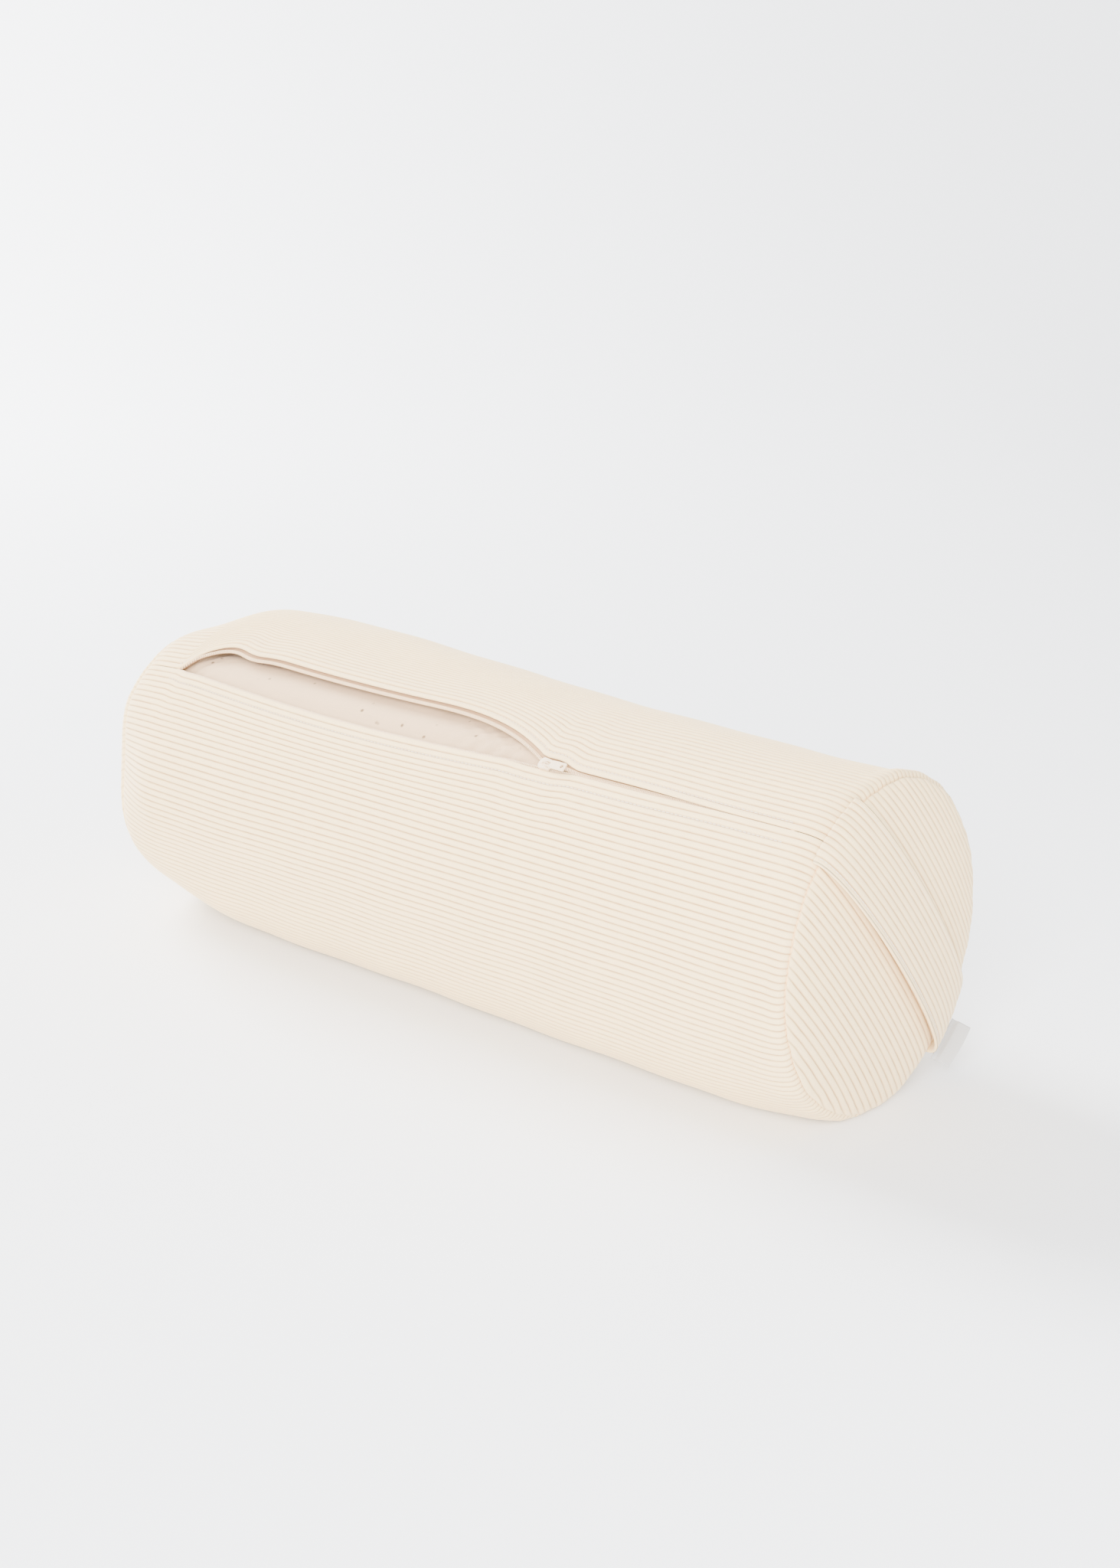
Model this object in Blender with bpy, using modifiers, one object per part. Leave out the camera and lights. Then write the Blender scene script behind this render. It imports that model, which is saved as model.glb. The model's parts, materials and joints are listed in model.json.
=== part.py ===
"""Round floor bolster: a corduroy cover with a long zip and an end handle, round a filled calico case.

Metres, +Z up. The roll lies along X with its handle end at +X, and the origin is the middle of the
flat that it rests on. The zip runs along the upper front (-Y) side and is open from its left end to
the slider, so its back lip bows away from its front lip.
"""

import math

import bmesh
import bpy
from mathutils import Matrix, Vector

# The roll
TUBE_LENGTH = 0.600
TUBE_DIAMETER = 0.220
SEAM_DROP = 0.0055
SHOULDER_LENGTH = 0.022
END_BULGE = 0.024
RESTING_DIP = 0.003

# Cloth, thread and the space between pieces that touch
CORDUROY = 0.0018
CALICO = 0.0006
GAP = 0.0003
THREAD_RADIUS = 0.00035

# The zip, whose distances across are measured round the roll from the middle of the chain
ZIP_ANGLE = math.radians(51.0)
ZIP_LEFT_INSET = 0.032
ZIP_RIGHT_INSET = 0.020
GAPE = 0.028
LEFT_OPENING_RUN = 0.045
SLIDER_OPENING_RUN = 0.115
COIL_RADIUS = 0.00125
COIL_COVER = 0.00125
TAPE_WIDTH = 0.0134
TAPE_THICKNESS = 0.0006
TAPE_LIFT = 0.0002
TAPE_TAIL = 0.003
STOP_LENGTH = 0.003
TOPSTITCH_INSET = 0.004

# The slider and its pull tab, along, across and out from the chain
SLIDER_REST = 0.0925
SLIDER_LENGTH = 0.011
SLIDER_HEAD_FLARE = 0.0005
SLIDER_NOSE_LENGTH = 0.0014
SLIDER_NOSE_WIDTH = 0.0044
SLIDER_HEEL_LENGTH = 0.0016
SLIDER_HEEL_INSET = 0.0008
SLIDER_SIDE_ROOM = 0.0011
PLATE_THICKNESS = 0.0009
TOP_PLATE_LIFT = 0.0005
FLANGE_LENGTH = 0.0066
FLANGE_THICKNESS = 0.0006
POST_LENGTH = 0.0028
POST_WIDTH = 0.0011
POST_INSET = 0.0006
POST_ROOM = 0.00035
BAIL_LENGTH = 0.0060
BAIL_WIDTH = 0.0014
BAIL_HEIGHT = 0.0022
BAIL_THICKNESS = 0.0008
TAB_LENGTH = 0.0165
TAB_WIDTH = 0.0060
TAB_THICKNESS = 0.0009
TAB_EYE_LENGTH = 0.0046
TAB_ARM_WIDTH = 0.0012
TAB_CORNER = 0.0012
TAB_HOLE_RADIUS = 0.0011
TAB_HOLE_INSET = 0.0024

# The handle strap, sewn into the +X end seam at both of its ends
STRAP_ANGLE = math.radians(-50.8)
STRAP_OFFSET = 0.010
STRAP_WIDTH = 0.050
STRAP_THICKNESS = 0.003
STRAP_STAND_OFF = 0.010
STRAP_STITCH_INSET = 0.003

# The woven label at the strap's lower end
LABEL_LENGTH = 0.030
LABEL_REACH = 0.010
LABEL_THICKNESS = 0.0007

# How finely round shapes are cut
TUBE_STEPS = 72
END_STEPS = 48
DOME_RINGS = 5
SHOULDER_RINGS = 3
PATH_STEP = 0.014
LEFT_RUN_PLACES = (0, 0.15, 0.4)
SLIDER_RUN_PLACES = (0, 0.06, 0.18)
STRAP_STEPS = 22
STRAP_BARE_STEPS = 2

# Worked out from the sizes above
HALF_LENGTH = TUBE_LENGTH / 2
TUBE_RADIUS = TUBE_DIAMETER / 2
SEAM_RADIUS = TUBE_RADIUS - SEAM_DROP
AXIS_HEIGHT = TUBE_RADIUS - RESTING_DIP
ZIP_LEFT = ZIP_LEFT_INSET - HALF_LENGTH
ZIP_RIGHT = HALF_LENGTH - ZIP_RIGHT_INSET
COIL_DEPTH = COIL_COVER + COIL_RADIUS
COIL_HALF_SPACING = COIL_RADIUS + POST_ROOM + POST_WIDTH / 2
TAPE_DEPTH = COIL_DEPTH - TAPE_LIFT
FLANGE_INNER = COIL_HALF_SPACING + COIL_RADIUS
SLIDER_TAIL = FLANGE_INNER + FLANGE_THICKNESS
SLIDER_HEAD_HALF = SLIDER_TAIL + SLIDER_HEAD_FLARE
SLIDER_TOP = TOP_PLATE_LIFT + PLATE_THICKNESS
SLIDER_DEPTH = COIL_DEPTH + COIL_RADIUS + GAP + PLATE_THICKNESS
SLOT_HALF_WIDTH = SLIDER_HEAD_HALF + SLIDER_SIDE_ROOM
INNER_RADIUS = TUBE_RADIUS - SLIDER_DEPTH - GAP
INNER_BULGE = END_BULGE - CORDUROY - 2 * GAP
INNER_SEAM_RADIUS = SEAM_RADIUS - CORDUROY - 3 * GAP
INNER_HALF_LENGTH = HALF_LENGTH - 2 * GAP
SLIDER_HEAD = SLIDER_REST - SLIDER_LENGTH / 2
OPENING_LEFT = ZIP_LEFT + 2 * STOP_LENGTH
STRAP_DIRECTION = Vector((0, math.cos(STRAP_ANGLE), math.sin(STRAP_ANGLE)))
STRAP_ACROSS = Vector((0, -math.sin(STRAP_ANGLE), math.cos(STRAP_ANGLE)))
SEAM_RING_RADIUS = (SEAM_RADIUS + GAP) / math.cos(math.pi / END_STEPS) + THREAD_RADIUS
STRAP_INNER_REACH = SEAM_RING_RADIUS + THREAD_RADIUS + GAP
STRAP_OUTER_REACH = STRAP_INNER_REACH + STRAP_THICKNESS

COLOURS = {
    "corduroy": (0.88, 0.80, 0.70),
    "calico": (0.76, 0.67, 0.58),
    "filling": (0.80, 0.74, 0.62),
    "zip_tape": (0.74, 0.60, 0.44),
    "zip_coil": (0.85, 0.74, 0.60),
    "enamel": (0.84, 0.80, 0.72),
    "thread": (0.80, 0.70, 0.58),
    "label": (0.74, 0.73, 0.71),
}


def clear_scene():
    for thing in list(bpy.data.objects):
        bpy.data.objects.remove(thing, do_unlink=True)


def new_collection(name):
    collection = bpy.data.collections.new(name)
    bpy.context.scene.collection.children.link(collection)
    return collection


def painted(thing, finish, roughness=0.9, metallic=0.0):
    """Gives an object its own Principled material in the finish's colour."""
    material = bpy.data.materials.new(thing.name + "_" + finish)
    material.use_nodes = True
    shader = material.node_tree.nodes["Principled BSDF"]
    shader.inputs["Base Color"].default_value = (*COLOURS[finish], 1)
    shader.inputs["Roughness"].default_value = roughness
    shader.inputs["Metallic"].default_value = metallic
    material.diffuse_color = (*COLOURS[finish], 1)
    thing.data.materials.clear()
    thing.data.materials.append(material)
    return thing


def new_object(name, data, collection):
    thing = bpy.data.objects.new(name, data)
    collection.objects.link(thing)
    return thing


def baked(thing):
    """Replaces an object's mesh or curve by the mesh that it evaluates to, in world space."""
    bpy.context.view_layer.update()
    evaluated = thing.evaluated_get(bpy.context.evaluated_depsgraph_get())
    mesh = bpy.data.meshes.new_from_object(evaluated)
    mesh.transform(thing.matrix_world)
    welded = bmesh.new()
    welded.from_mesh(mesh)
    bmesh.ops.remove_doubles(welded, verts=welded.verts, dist=1e-6)
    bmesh.ops.recalc_face_normals(welded, faces=welded.faces)
    welded.to_mesh(mesh)
    welded.free()
    name, collection = thing.name, thing.users_collection[0]
    bpy.data.objects.remove(thing, do_unlink=True)
    return new_object(name, mesh, collection)


def rounded(thing, angle=40):
    thing.data.shade_smooth()
    thing.data.set_sharp_from_angle(angle=math.radians(angle))
    return thing


def turned(name, profile, closed, steps, collection):
    """A profile of (along X, radius) points, from +X to -X on its outer side, turned round the roll."""
    mesh = bpy.data.meshes.new(name)
    edges = [(i, i + 1) for i in range(len(profile) - 1)]
    if closed:
        edges.append((len(profile) - 1, 0))
    mesh.from_pydata([(radius, 0, along) for along, radius in profile], edges, [])
    thing = new_object(name, mesh, collection)
    thing.location = (0, 0, AXIS_HEIGHT)
    thing.rotation_euler = (0, math.pi / 2, 0)
    screw = thing.modifiers.new("turn", "SCREW")
    screw.steps = steps
    screw.render_steps = steps
    screw.use_merge_vertices = True
    screw.merge_threshold = 1e-5
    return rounded(baked(thing))


def outline_solid(name, points, thickness, collection):
    """A flat outline in its own XY plane, as thick as told, with its middle at local Z 0."""
    curve = bpy.data.curves.new(name, "CURVE")
    curve.dimensions = "2D"
    curve.fill_mode = "BOTH"
    curve.extrude = thickness / 2
    spline = curve.splines.new("POLY")
    spline.points.add(len(points) - 1)
    for point, (x, y) in zip(spline.points, points):
        point.co = (x, y, 0, 1)
    spline.use_cyclic_u = True
    return new_object(name, curve, collection)


def box_solid(name, low, high, collection):
    """A box between two corners."""
    low, high = Vector(low), Vector(high)
    block = bmesh.new()
    bmesh.ops.create_cube(block, size=1.0)
    middle = (low + high) / 2
    for vertex in block.verts:
        vertex.co = Vector(a * b for a, b in zip(vertex.co, high - low)) + middle
    mesh = bpy.data.meshes.new(name)
    block.to_mesh(mesh)
    block.free()
    return new_object(name, mesh, collection)


def thread_along(name, points, radius, collection, cyclic=False):
    """A round thread, cord or coil through its points."""
    curve = bpy.data.curves.new(name, "CURVE")
    curve.dimensions = "3D"
    curve.bevel_depth = radius
    curve.bevel_resolution = 2
    curve.use_fill_caps = True
    spline = curve.splines.new("POLY")
    spline.points.add(len(points) - 1)
    for point, place in zip(spline.points, points):
        point.co = (*place, 1)
    spline.use_cyclic_u = cyclic
    return new_object(name, curve, collection)


def ribbon(name, sections, collection):
    """A closed strip lofted through four-cornered sections."""
    strip = bmesh.new()
    rings = [[strip.verts.new(corner) for corner in section] for section in sections]
    for before, after in zip(rings, rings[1:]):
        for i in range(4):
            j = (i + 1) % 4
            strip.faces.new((before[i], before[j], after[j], after[i]))
    strip.faces.new(reversed(rings[0]))
    strip.faces.new(rings[-1])
    bmesh.ops.recalc_face_normals(strip, faces=strip.faces)
    mesh = bpy.data.meshes.new(name)
    strip.to_mesh(mesh)
    strip.free()
    return new_object(name, mesh, collection)


def combined(base, others, operation):
    """Joins the others to the base, or cuts them from it, and removes them."""
    for other in others:
        change = base.modifiers.new(other.name, "BOOLEAN")
        change.operation = operation
        change.object = other
    result = baked(base)
    for other in others:
        bpy.data.objects.remove(other, do_unlink=True)
    return result


def on_roll(along, across, depth):
    """The point that lies this far round the roll from the zip and this deep under its surface."""
    angle = ZIP_ANGLE + across / TUBE_RADIUS
    radius = TUBE_RADIUS - depth
    return Vector((along, -radius * math.cos(angle), AXIS_HEIGHT + radius * math.sin(angle)))


def eased(share):
    """Rises from 0 to 1, steeply at first."""
    share = min(max(share, 0.0), 1.0)
    return 1 - (1 - share) ** 2


def lip_gape(along):
    """How far the back lip bows away from the closed line."""
    from_left = eased((along - OPENING_LEFT) / LEFT_OPENING_RUN)
    from_slider = eased((SLIDER_HEAD - along) / SLIDER_OPENING_RUN)
    return GAPE * from_left * from_slider


def coil_reach(gape, along):
    """Half the coil's width across the zip, which grows where the coil runs askew."""
    step = 2 * COIL_RADIUS
    here = gape(along)
    slope = max(abs(gape(along + step) - here), abs(here - gape(along - step))) / step
    return COIL_RADIUS * math.hypot(1, slope)


def stations(start, end, also=()):
    """Places along X from start to end: both ends, and the ones that every piece of the zip shares."""
    count = math.ceil((ZIP_RIGHT - ZIP_LEFT) / PATH_STEP)
    shared = [ZIP_LEFT + (ZIP_RIGHT - ZIP_LEFT) * i / count for i in range(count + 1)]
    shared += list(also)
    return [start] + sorted(place for place in set(shared) if start < place < end) + [end]


def lip_stations(start, end):
    """Places along the back lip, closer together where it starts to bow."""
    left = [OPENING_LEFT + LEFT_OPENING_RUN * share for share in LEFT_RUN_PLACES]
    right = [SLIDER_HEAD - SLIDER_OPENING_RUN * share for share in SLIDER_RUN_PLACES]
    return stations(start, end, left + right)


def shoulder_radius(along):
    """The tube's radius, which falls to the seam's at both ends."""
    share = max(0.0, (abs(along) - HALF_LENGTH + SHOULDER_LENGTH) / SHOULDER_LENGTH)
    return SEAM_RADIUS + (TUBE_RADIUS - SEAM_RADIUS) * math.sqrt(max(0.0, 1 - share**2))


def tube_profile():
    """The tube panel's outer side from +X to -X, then its inner side back again."""
    turns = [math.sin(math.pi / 2 * i / SHOULDER_RINGS) for i in range(SHOULDER_RINGS + 1)]
    right = [HALF_LENGTH - SHOULDER_LENGTH + SHOULDER_LENGTH * turn for turn in turns]
    places = right[::-1] + [-place for place in right]
    outer = [(place, shoulder_radius(place)) for place in places]
    inner = [(place, radius - CORDUROY) for place, radius in reversed(outer)]
    return outer + inner


def dome(rim, radius, bulge):
    """Points of a round end from its middle to its rim, as (along X, radius)."""
    turns = [math.pi / 2 * i / DOME_RINGS for i in range(DOME_RINGS + 1)]
    return [(rim + bulge * math.cos(turn), radius * math.sin(turn)) for turn in turns]


def end_panel_profile(rim, radius, bulge, cloth):
    """A dished round panel of even cloth: out along its face and back along its inside."""
    outside = dome(rim, radius, bulge)
    inside = dome(rim, radius - cloth, bulge - cloth)
    return outside + inside[::-1]


def mirrored(profile):
    """The same profile at the other end of the roll, still running from +X to -X outside."""
    return [(-along, radius) for along, radius in reversed(profile)]


def cover_tube(parts, cutters):
    """The long panel, flat where it rests, with the open zip slot through it."""
    tube = turned("cover_tube", tube_profile(), True, TUBE_STEPS, parts)
    for vertex in tube.data.vertices:
        radius = math.hypot(vertex.co.y, vertex.co.z - AXIS_HEIGHT)
        outside = radius > shoulder_radius(vertex.co.x) - CORDUROY / 2
        vertex.co.z = max(vertex.co.z, 0 if outside else CORDUROY)
    sections = []
    for along in lip_stations(ZIP_LEFT, ZIP_RIGHT):
        back = SLOT_HALF_WIDTH + lip_gape(along)
        front = -SLOT_HALF_WIDTH
        out, into = -3 * CORDUROY, 2 * CORDUROY
        corners = ((front, into), (front, out), (back, out), (back, into))
        sections.append([on_roll(along, across, depth) for across, depth in corners])
    slot = ribbon("zip_slot_cutter", sections, cutters)
    slot.hide_render = True
    slot.display_type = "WIRE"
    cut = tube.modifiers.new("zip_slot", "BOOLEAN")
    cut.operation = "DIFFERENCE"
    cut.object = slot
    painted(tube, "corduroy")


def cover_ends(parts):
    """The two round corduroy panels."""
    profile = end_panel_profile(HALF_LENGTH + GAP, SEAM_RADIUS, END_BULGE, CORDUROY)
    for name, shape in (
        ("cover_end_handle_side", profile),
        ("cover_end_plain_side", mirrored(profile)),
    ):
        painted(turned(name, shape, False, END_STEPS, parts), "corduroy")


def end_seams(parts):
    """The thread round the seam where each end panel meets the tube."""
    for name, side in (("end_seam_handle_side", 1), ("end_seam_plain_side", -1)):
        middle = Vector((side * (HALF_LENGTH + GAP / 2), 0, AXIS_HEIGHT))
        turns = [2 * math.pi * i / END_STEPS for i in range(END_STEPS)]
        spokes = [Vector((0, math.cos(turn), math.sin(turn))) for turn in turns]
        places = [middle + SEAM_RING_RADIUS * spoke for spoke in spokes]
        painted(thread_along(name, places, THREAD_RADIUS, parts, cyclic=True), "thread")


def inner_pillow(parts):
    """The calico case, in three panels, and the filling that it holds."""
    half = INNER_HALF_LENGTH
    shoulder = half - SHOULDER_LENGTH
    outer = [(half, INNER_SEAM_RADIUS), (shoulder, INNER_RADIUS)]
    outer += [(-along, radius) for along, radius in reversed(outer)]
    inner = [(along, radius - CALICO) for along, radius in reversed(outer)]
    painted(turned("inner_case_tube", outer + inner, True, END_STEPS, parts), "calico")
    panel = end_panel_profile(half + GAP, INNER_SEAM_RADIUS, INNER_BULGE - 2 * GAP, CALICO)
    for name, shape in (
        ("inner_case_end_handle_side", panel),
        ("inner_case_end_plain_side", mirrored(panel)),
    ):
        painted(turned(name, shape, False, END_STEPS, parts), "calico")
    clear = CALICO + GAP
    right = dome(half, INNER_SEAM_RADIUS - clear, INNER_BULGE - 2 * GAP - clear)
    right.append((shoulder, INNER_RADIUS - clear))
    core = right + [(-along, radius) for along, radius in reversed(right)]
    painted(turned("filling", core, False, END_STEPS, parts), "filling")


def zip_chain(parts):
    """Both halves of the zip: woven tape, coil of teeth and end stops."""
    start, end = ZIP_LEFT + STOP_LENGTH + GAP, ZIP_RIGHT - STOP_LENGTH - GAP
    flat = lambda along: 0.0
    for side, sign, gape, places in (
        ("front", -1, flat, stations),
        ("back", 1, lip_gape, lip_stations),
    ):
        coil = [
            on_roll(along, sign * COIL_HALF_SPACING + gape(along), COIL_DEPTH)
            for along in places(start, end)
        ]
        painted(thread_along("zip_coil_" + side, coil, COIL_RADIUS, parts), "zip_coil", 0.5)
        top, bottom = TAPE_DEPTH, TAPE_DEPTH + TAPE_THICKNESS
        sections = []
        for along in places(ZIP_LEFT - TAPE_TAIL, ZIP_RIGHT - GAP):
            edge = COIL_HALF_SPACING + coil_reach(gape, along) + GAP
            near = sign * edge + gape(along)
            far = sign * (edge + TAPE_WIDTH) + gape(along)
            corners = ((near, top), (far, top), (far, bottom), (near, bottom))
            sections.append([on_roll(along, across, depth) for across, depth in corners])
        painted(ribbon("zip_tape_" + side, sections, parts), "zip_tape")


def zip_frame(along):
    """The place and turn of the chain's middle: X along it, Y round the roll, Z outward."""
    turn = Matrix.Rotation(math.pi / 2 - ZIP_ANGLE, 4, "X")
    return Matrix.Translation(on_roll(along, 0, 0)) @ turn


def zip_stops(parts):
    """The stop across both coils at the closed end, and one on each coil at the open end."""
    top, bottom = COIL_RADIUS - COIL_DEPTH, -COIL_RADIUS - COIL_DEPTH
    reach = COIL_HALF_SPACING + COIL_RADIUS
    near = COIL_HALF_SPACING - COIL_RADIUS
    for name, low, high in (
        ("zip_bottom_stop", (ZIP_RIGHT - STOP_LENGTH, -reach), (ZIP_RIGHT - GAP, reach)),
        ("zip_top_stop_front", (ZIP_LEFT + GAP, -reach), (ZIP_LEFT + STOP_LENGTH, -near)),
        ("zip_top_stop_back", (ZIP_LEFT + GAP, near), (ZIP_LEFT + STOP_LENGTH, reach)),
    ):
        stop = box_solid(name, (*low, bottom), (*high, top), parts)
        stop.matrix_world = zip_frame(0)
        edge = stop.modifiers.new("edges", "BEVEL")
        edge.width = GAP
        edge.segments = 2
        painted(stop, "zip_coil", 0.5)


def slider_plate(name, middle, parts):
    """A plate of the slider: wide and pointed at its head, narrow at its tail."""
    half = SLIDER_LENGTH / 2
    side = [
        (-half, SLIDER_NOSE_WIDTH / 2),
        (SLIDER_NOSE_LENGTH - half, SLIDER_HEAD_HALF),
        (half - SLIDER_HEEL_LENGTH, SLIDER_TAIL),
        (half, SLIDER_TAIL - SLIDER_HEEL_INSET),
    ]
    outline = side + [(x, -y) for x, y in reversed(side)]
    plate = outline_solid(name, outline, PLATE_THICKNESS, parts)
    plate.location = (0, 0, middle)
    return baked(plate)


def zip_slider(parts):
    """The slider: two plates joined by the post between the coils, with a bail for the tab."""
    overlap = PLATE_THICKNESS / 2
    in_top, in_base = SLIDER_TOP - overlap, overlap - SLIDER_DEPTH
    plate = slider_plate("zip_slider", in_top, parts)
    lower = slider_plate("lower", in_base, parts)
    nose = POST_INSET - SLIDER_LENGTH / 2
    post_low = (nose, -POST_WIDTH / 2, in_base)
    post_high = (nose + POST_LENGTH, POST_WIDTH / 2, in_top)
    pieces = [lower, box_solid("post", post_low, post_high, parts)]
    flange_foot = -TAPE_DEPTH + GAP
    for sign in (-1, 1):
        near, far = sorted((sign * FLANGE_INNER, sign * SLIDER_TAIL))
        low, high = (-FLANGE_LENGTH / 2, near, flange_foot), (FLANGE_LENGTH / 2, far, in_top)
        pieces.append(box_solid("flange", low, high, parts))
    reach, width = BAIL_LENGTH / 2, BAIL_WIDTH / 2
    ceiling = SLIDER_TOP + BAIL_HEIGHT
    for sign in (-1, 1):
        near, far = sorted((sign * reach, sign * (reach - BAIL_THICKNESS)))
        leg_top = ceiling - BAIL_THICKNESS / 2
        pieces.append(box_solid("leg", (near, -width, in_top), (far, width, leg_top), parts))
    beam_low = (-reach, -width, ceiling - BAIL_THICKNESS)
    pieces.append(box_solid("beam", beam_low, (reach, width, ceiling), parts))
    slider = combined(plate, pieces, "UNION")
    slider.matrix_world = zip_frame(SLIDER_REST)
    painted(slider, "enamel", 0.4)
    return slider


def tab_pin_height():
    """How far out from the roll's surface the tab's pin lies, midway in the bail."""
    return SLIDER_TOP + (BAIL_HEIGHT - BAIL_THICKNESS) / 2


def zip_pull_tab(parts, pin):
    """The tab: a plate with an eye round the bail, turning on the pin across the eye's end."""
    pin_half = TAB_THICKNESS / 2
    width, arm = TAB_WIDTH / 2, TAB_ARM_WIDTH
    neck = BAIL_WIDTH / 2 + GAP + arm
    eye_end = TAB_EYE_LENGTH - pin_half
    side = [(-pin_half, neck), (eye_end, neck), (eye_end + TAB_CORNER, width)]
    side += [(TAB_LENGTH - TAB_CORNER, width), (TAB_LENGTH, width - TAB_CORNER)]
    outline = side + [(x, -y) for x, y in reversed(side)]
    plate = baked(outline_solid("zip_pull_tab", outline, TAB_THICKNESS, parts))
    inner = neck - arm
    eye = box_solid("eye", (pin_half, -inner, -arm), (eye_end, inner, arm), parts)
    drill = bmesh.new()
    bmesh.ops.create_cone(
        drill,
        cap_ends=True,
        segments=16,
        radius1=TAB_HOLE_RADIUS,
        radius2=TAB_HOLE_RADIUS,
        depth=4 * TAB_THICKNESS,
    )
    mesh = bpy.data.meshes.new("hole")
    drill.to_mesh(mesh)
    drill.free()
    hole = new_object("hole", mesh, parts)
    hole.location = (TAB_LENGTH - TAB_HOLE_INSET, 0, 0)
    tab = combined(plate, [eye, hole], "DIFFERENCE")
    tab.parent = pin
    painted(tab, "enamel", 0.4)


def topstitching(parts):
    """The thread sewn along each lip of the zip."""
    start, end = ZIP_LEFT + STOP_LENGTH, ZIP_RIGHT - STOP_LENGTH
    reach = SLOT_HALF_WIDTH + TOPSTITCH_INSET
    depth = -(THREAD_RADIUS + GAP)
    front = [on_roll(along, -reach, depth) for along in stations(start, end)]
    back = [on_roll(along, reach + lip_gape(along), depth) for along in lip_stations(start, end)]
    painted(thread_along("zip_topstitch_front", front, THREAD_RADIUS, parts), "thread")
    painted(thread_along("zip_topstitch_back", back, THREAD_RADIUS, parts), "thread")


def strap_arc(reach, height):
    """Half an ellipse over the end, as (along the strap, out along X) points."""
    turns = [math.pi * i / STRAP_STEPS for i in range(STRAP_STEPS + 1)]
    return [(reach * math.cos(turn), height * math.sin(turn)) for turn in turns]


def strap_frame():
    """Local X along the strap, Y out along the roll, Z across the strap, at the seam's plane."""
    turn = Matrix((STRAP_DIRECTION, Vector((1, 0, 0)), -STRAP_ACROSS)).transposed().to_4x4()
    place = Vector((HALF_LENGTH + 2 * GAP, 0, AXIS_HEIGHT)) + STRAP_OFFSET * STRAP_ACROSS
    return Matrix.Translation(place) @ turn


def handle_strap(parts):
    """The wide strap over the end, and the thread along both of its edges."""
    height = END_BULGE + STRAP_STAND_OFF
    inside = strap_arc(STRAP_INNER_REACH, height)
    outside = strap_arc(STRAP_OUTER_REACH, height + STRAP_THICKNESS)
    strap = outline_solid("handle_strap", outside + inside[::-1], STRAP_WIDTH, parts)
    strap.matrix_world = strap_frame()
    painted(strap, "corduroy")
    lift = THREAD_RADIUS + GAP
    arc = strap_arc(STRAP_OUTER_REACH + lift, height + STRAP_THICKNESS + lift)
    for name, sign in (("strap_edge_stitch_front", -1), ("strap_edge_stitch_back", 1)):
        across = -sign * (STRAP_WIDTH / 2 - STRAP_STITCH_INSET)
        sewn = arc[STRAP_BARE_STEPS:-STRAP_BARE_STEPS]
        points = [(along, out, across) for along, out in sewn]
        thread = thread_along(name, points, THREAD_RADIUS, parts)
        thread.matrix_world = strap_frame()
        painted(thread, "thread")


def woven_label(parts):
    """The small blank label, sewn in by one long edge and turning on it."""
    reach = STRAP_OUTER_REACH + GAP + LABEL_THICKNESS / 2
    middle = LABEL_LENGTH / 2
    low = (0, -LABEL_THICKNESS / 2, -middle)
    high = (LABEL_REACH, LABEL_THICKNESS / 2, middle)
    label = box_solid("woven_label", low, high, parts)
    across = STRAP_OFFSET - STRAP_WIDTH / 2 + middle
    out = 2 * GAP + STRAP_THICKNESS / 2
    place = Vector((HALF_LENGTH + out, 0, AXIS_HEIGHT)) + across * STRAP_ACROSS
    turn = strap_frame().to_3x3().to_4x4()
    label.matrix_world = Matrix.Translation(place + reach * STRAP_DIRECTION) @ turn
    painted(label, "label")


def empty_at(name, place, parts):
    """A pivot that moving pieces hang from."""
    pivot = new_object(name, None, parts)
    pivot.empty_display_size = 0.01
    pivot.matrix_world = place
    return pivot


def main():
    clear_scene()
    parts = new_collection("bolster")
    cutters = new_collection("bolster_cutters")
    cover_tube(parts, cutters)
    cover_ends(parts)
    end_seams(parts)
    inner_pillow(parts)
    zip_chain(parts)
    zip_stops(parts)
    zip_slider(parts)
    pin_place = zip_frame(SLIDER_REST) @ Matrix.Translation((0, 0, tab_pin_height()))
    zip_pull_tab(parts, empty_at("pull_tab_pin", pin_place, parts))
    topstitching(parts)
    handle_strap(parts)
    woven_label(parts)


main()
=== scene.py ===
"""Looks of a round floor bolster: corduroy cover, open zip, calico inner pillow and end handle."""

import json
import math

import bpy
import numpy as np
from bpy.props import FloatProperty, FloatVectorProperty, PointerProperty
from mathutils import Matrix, Vector


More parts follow.
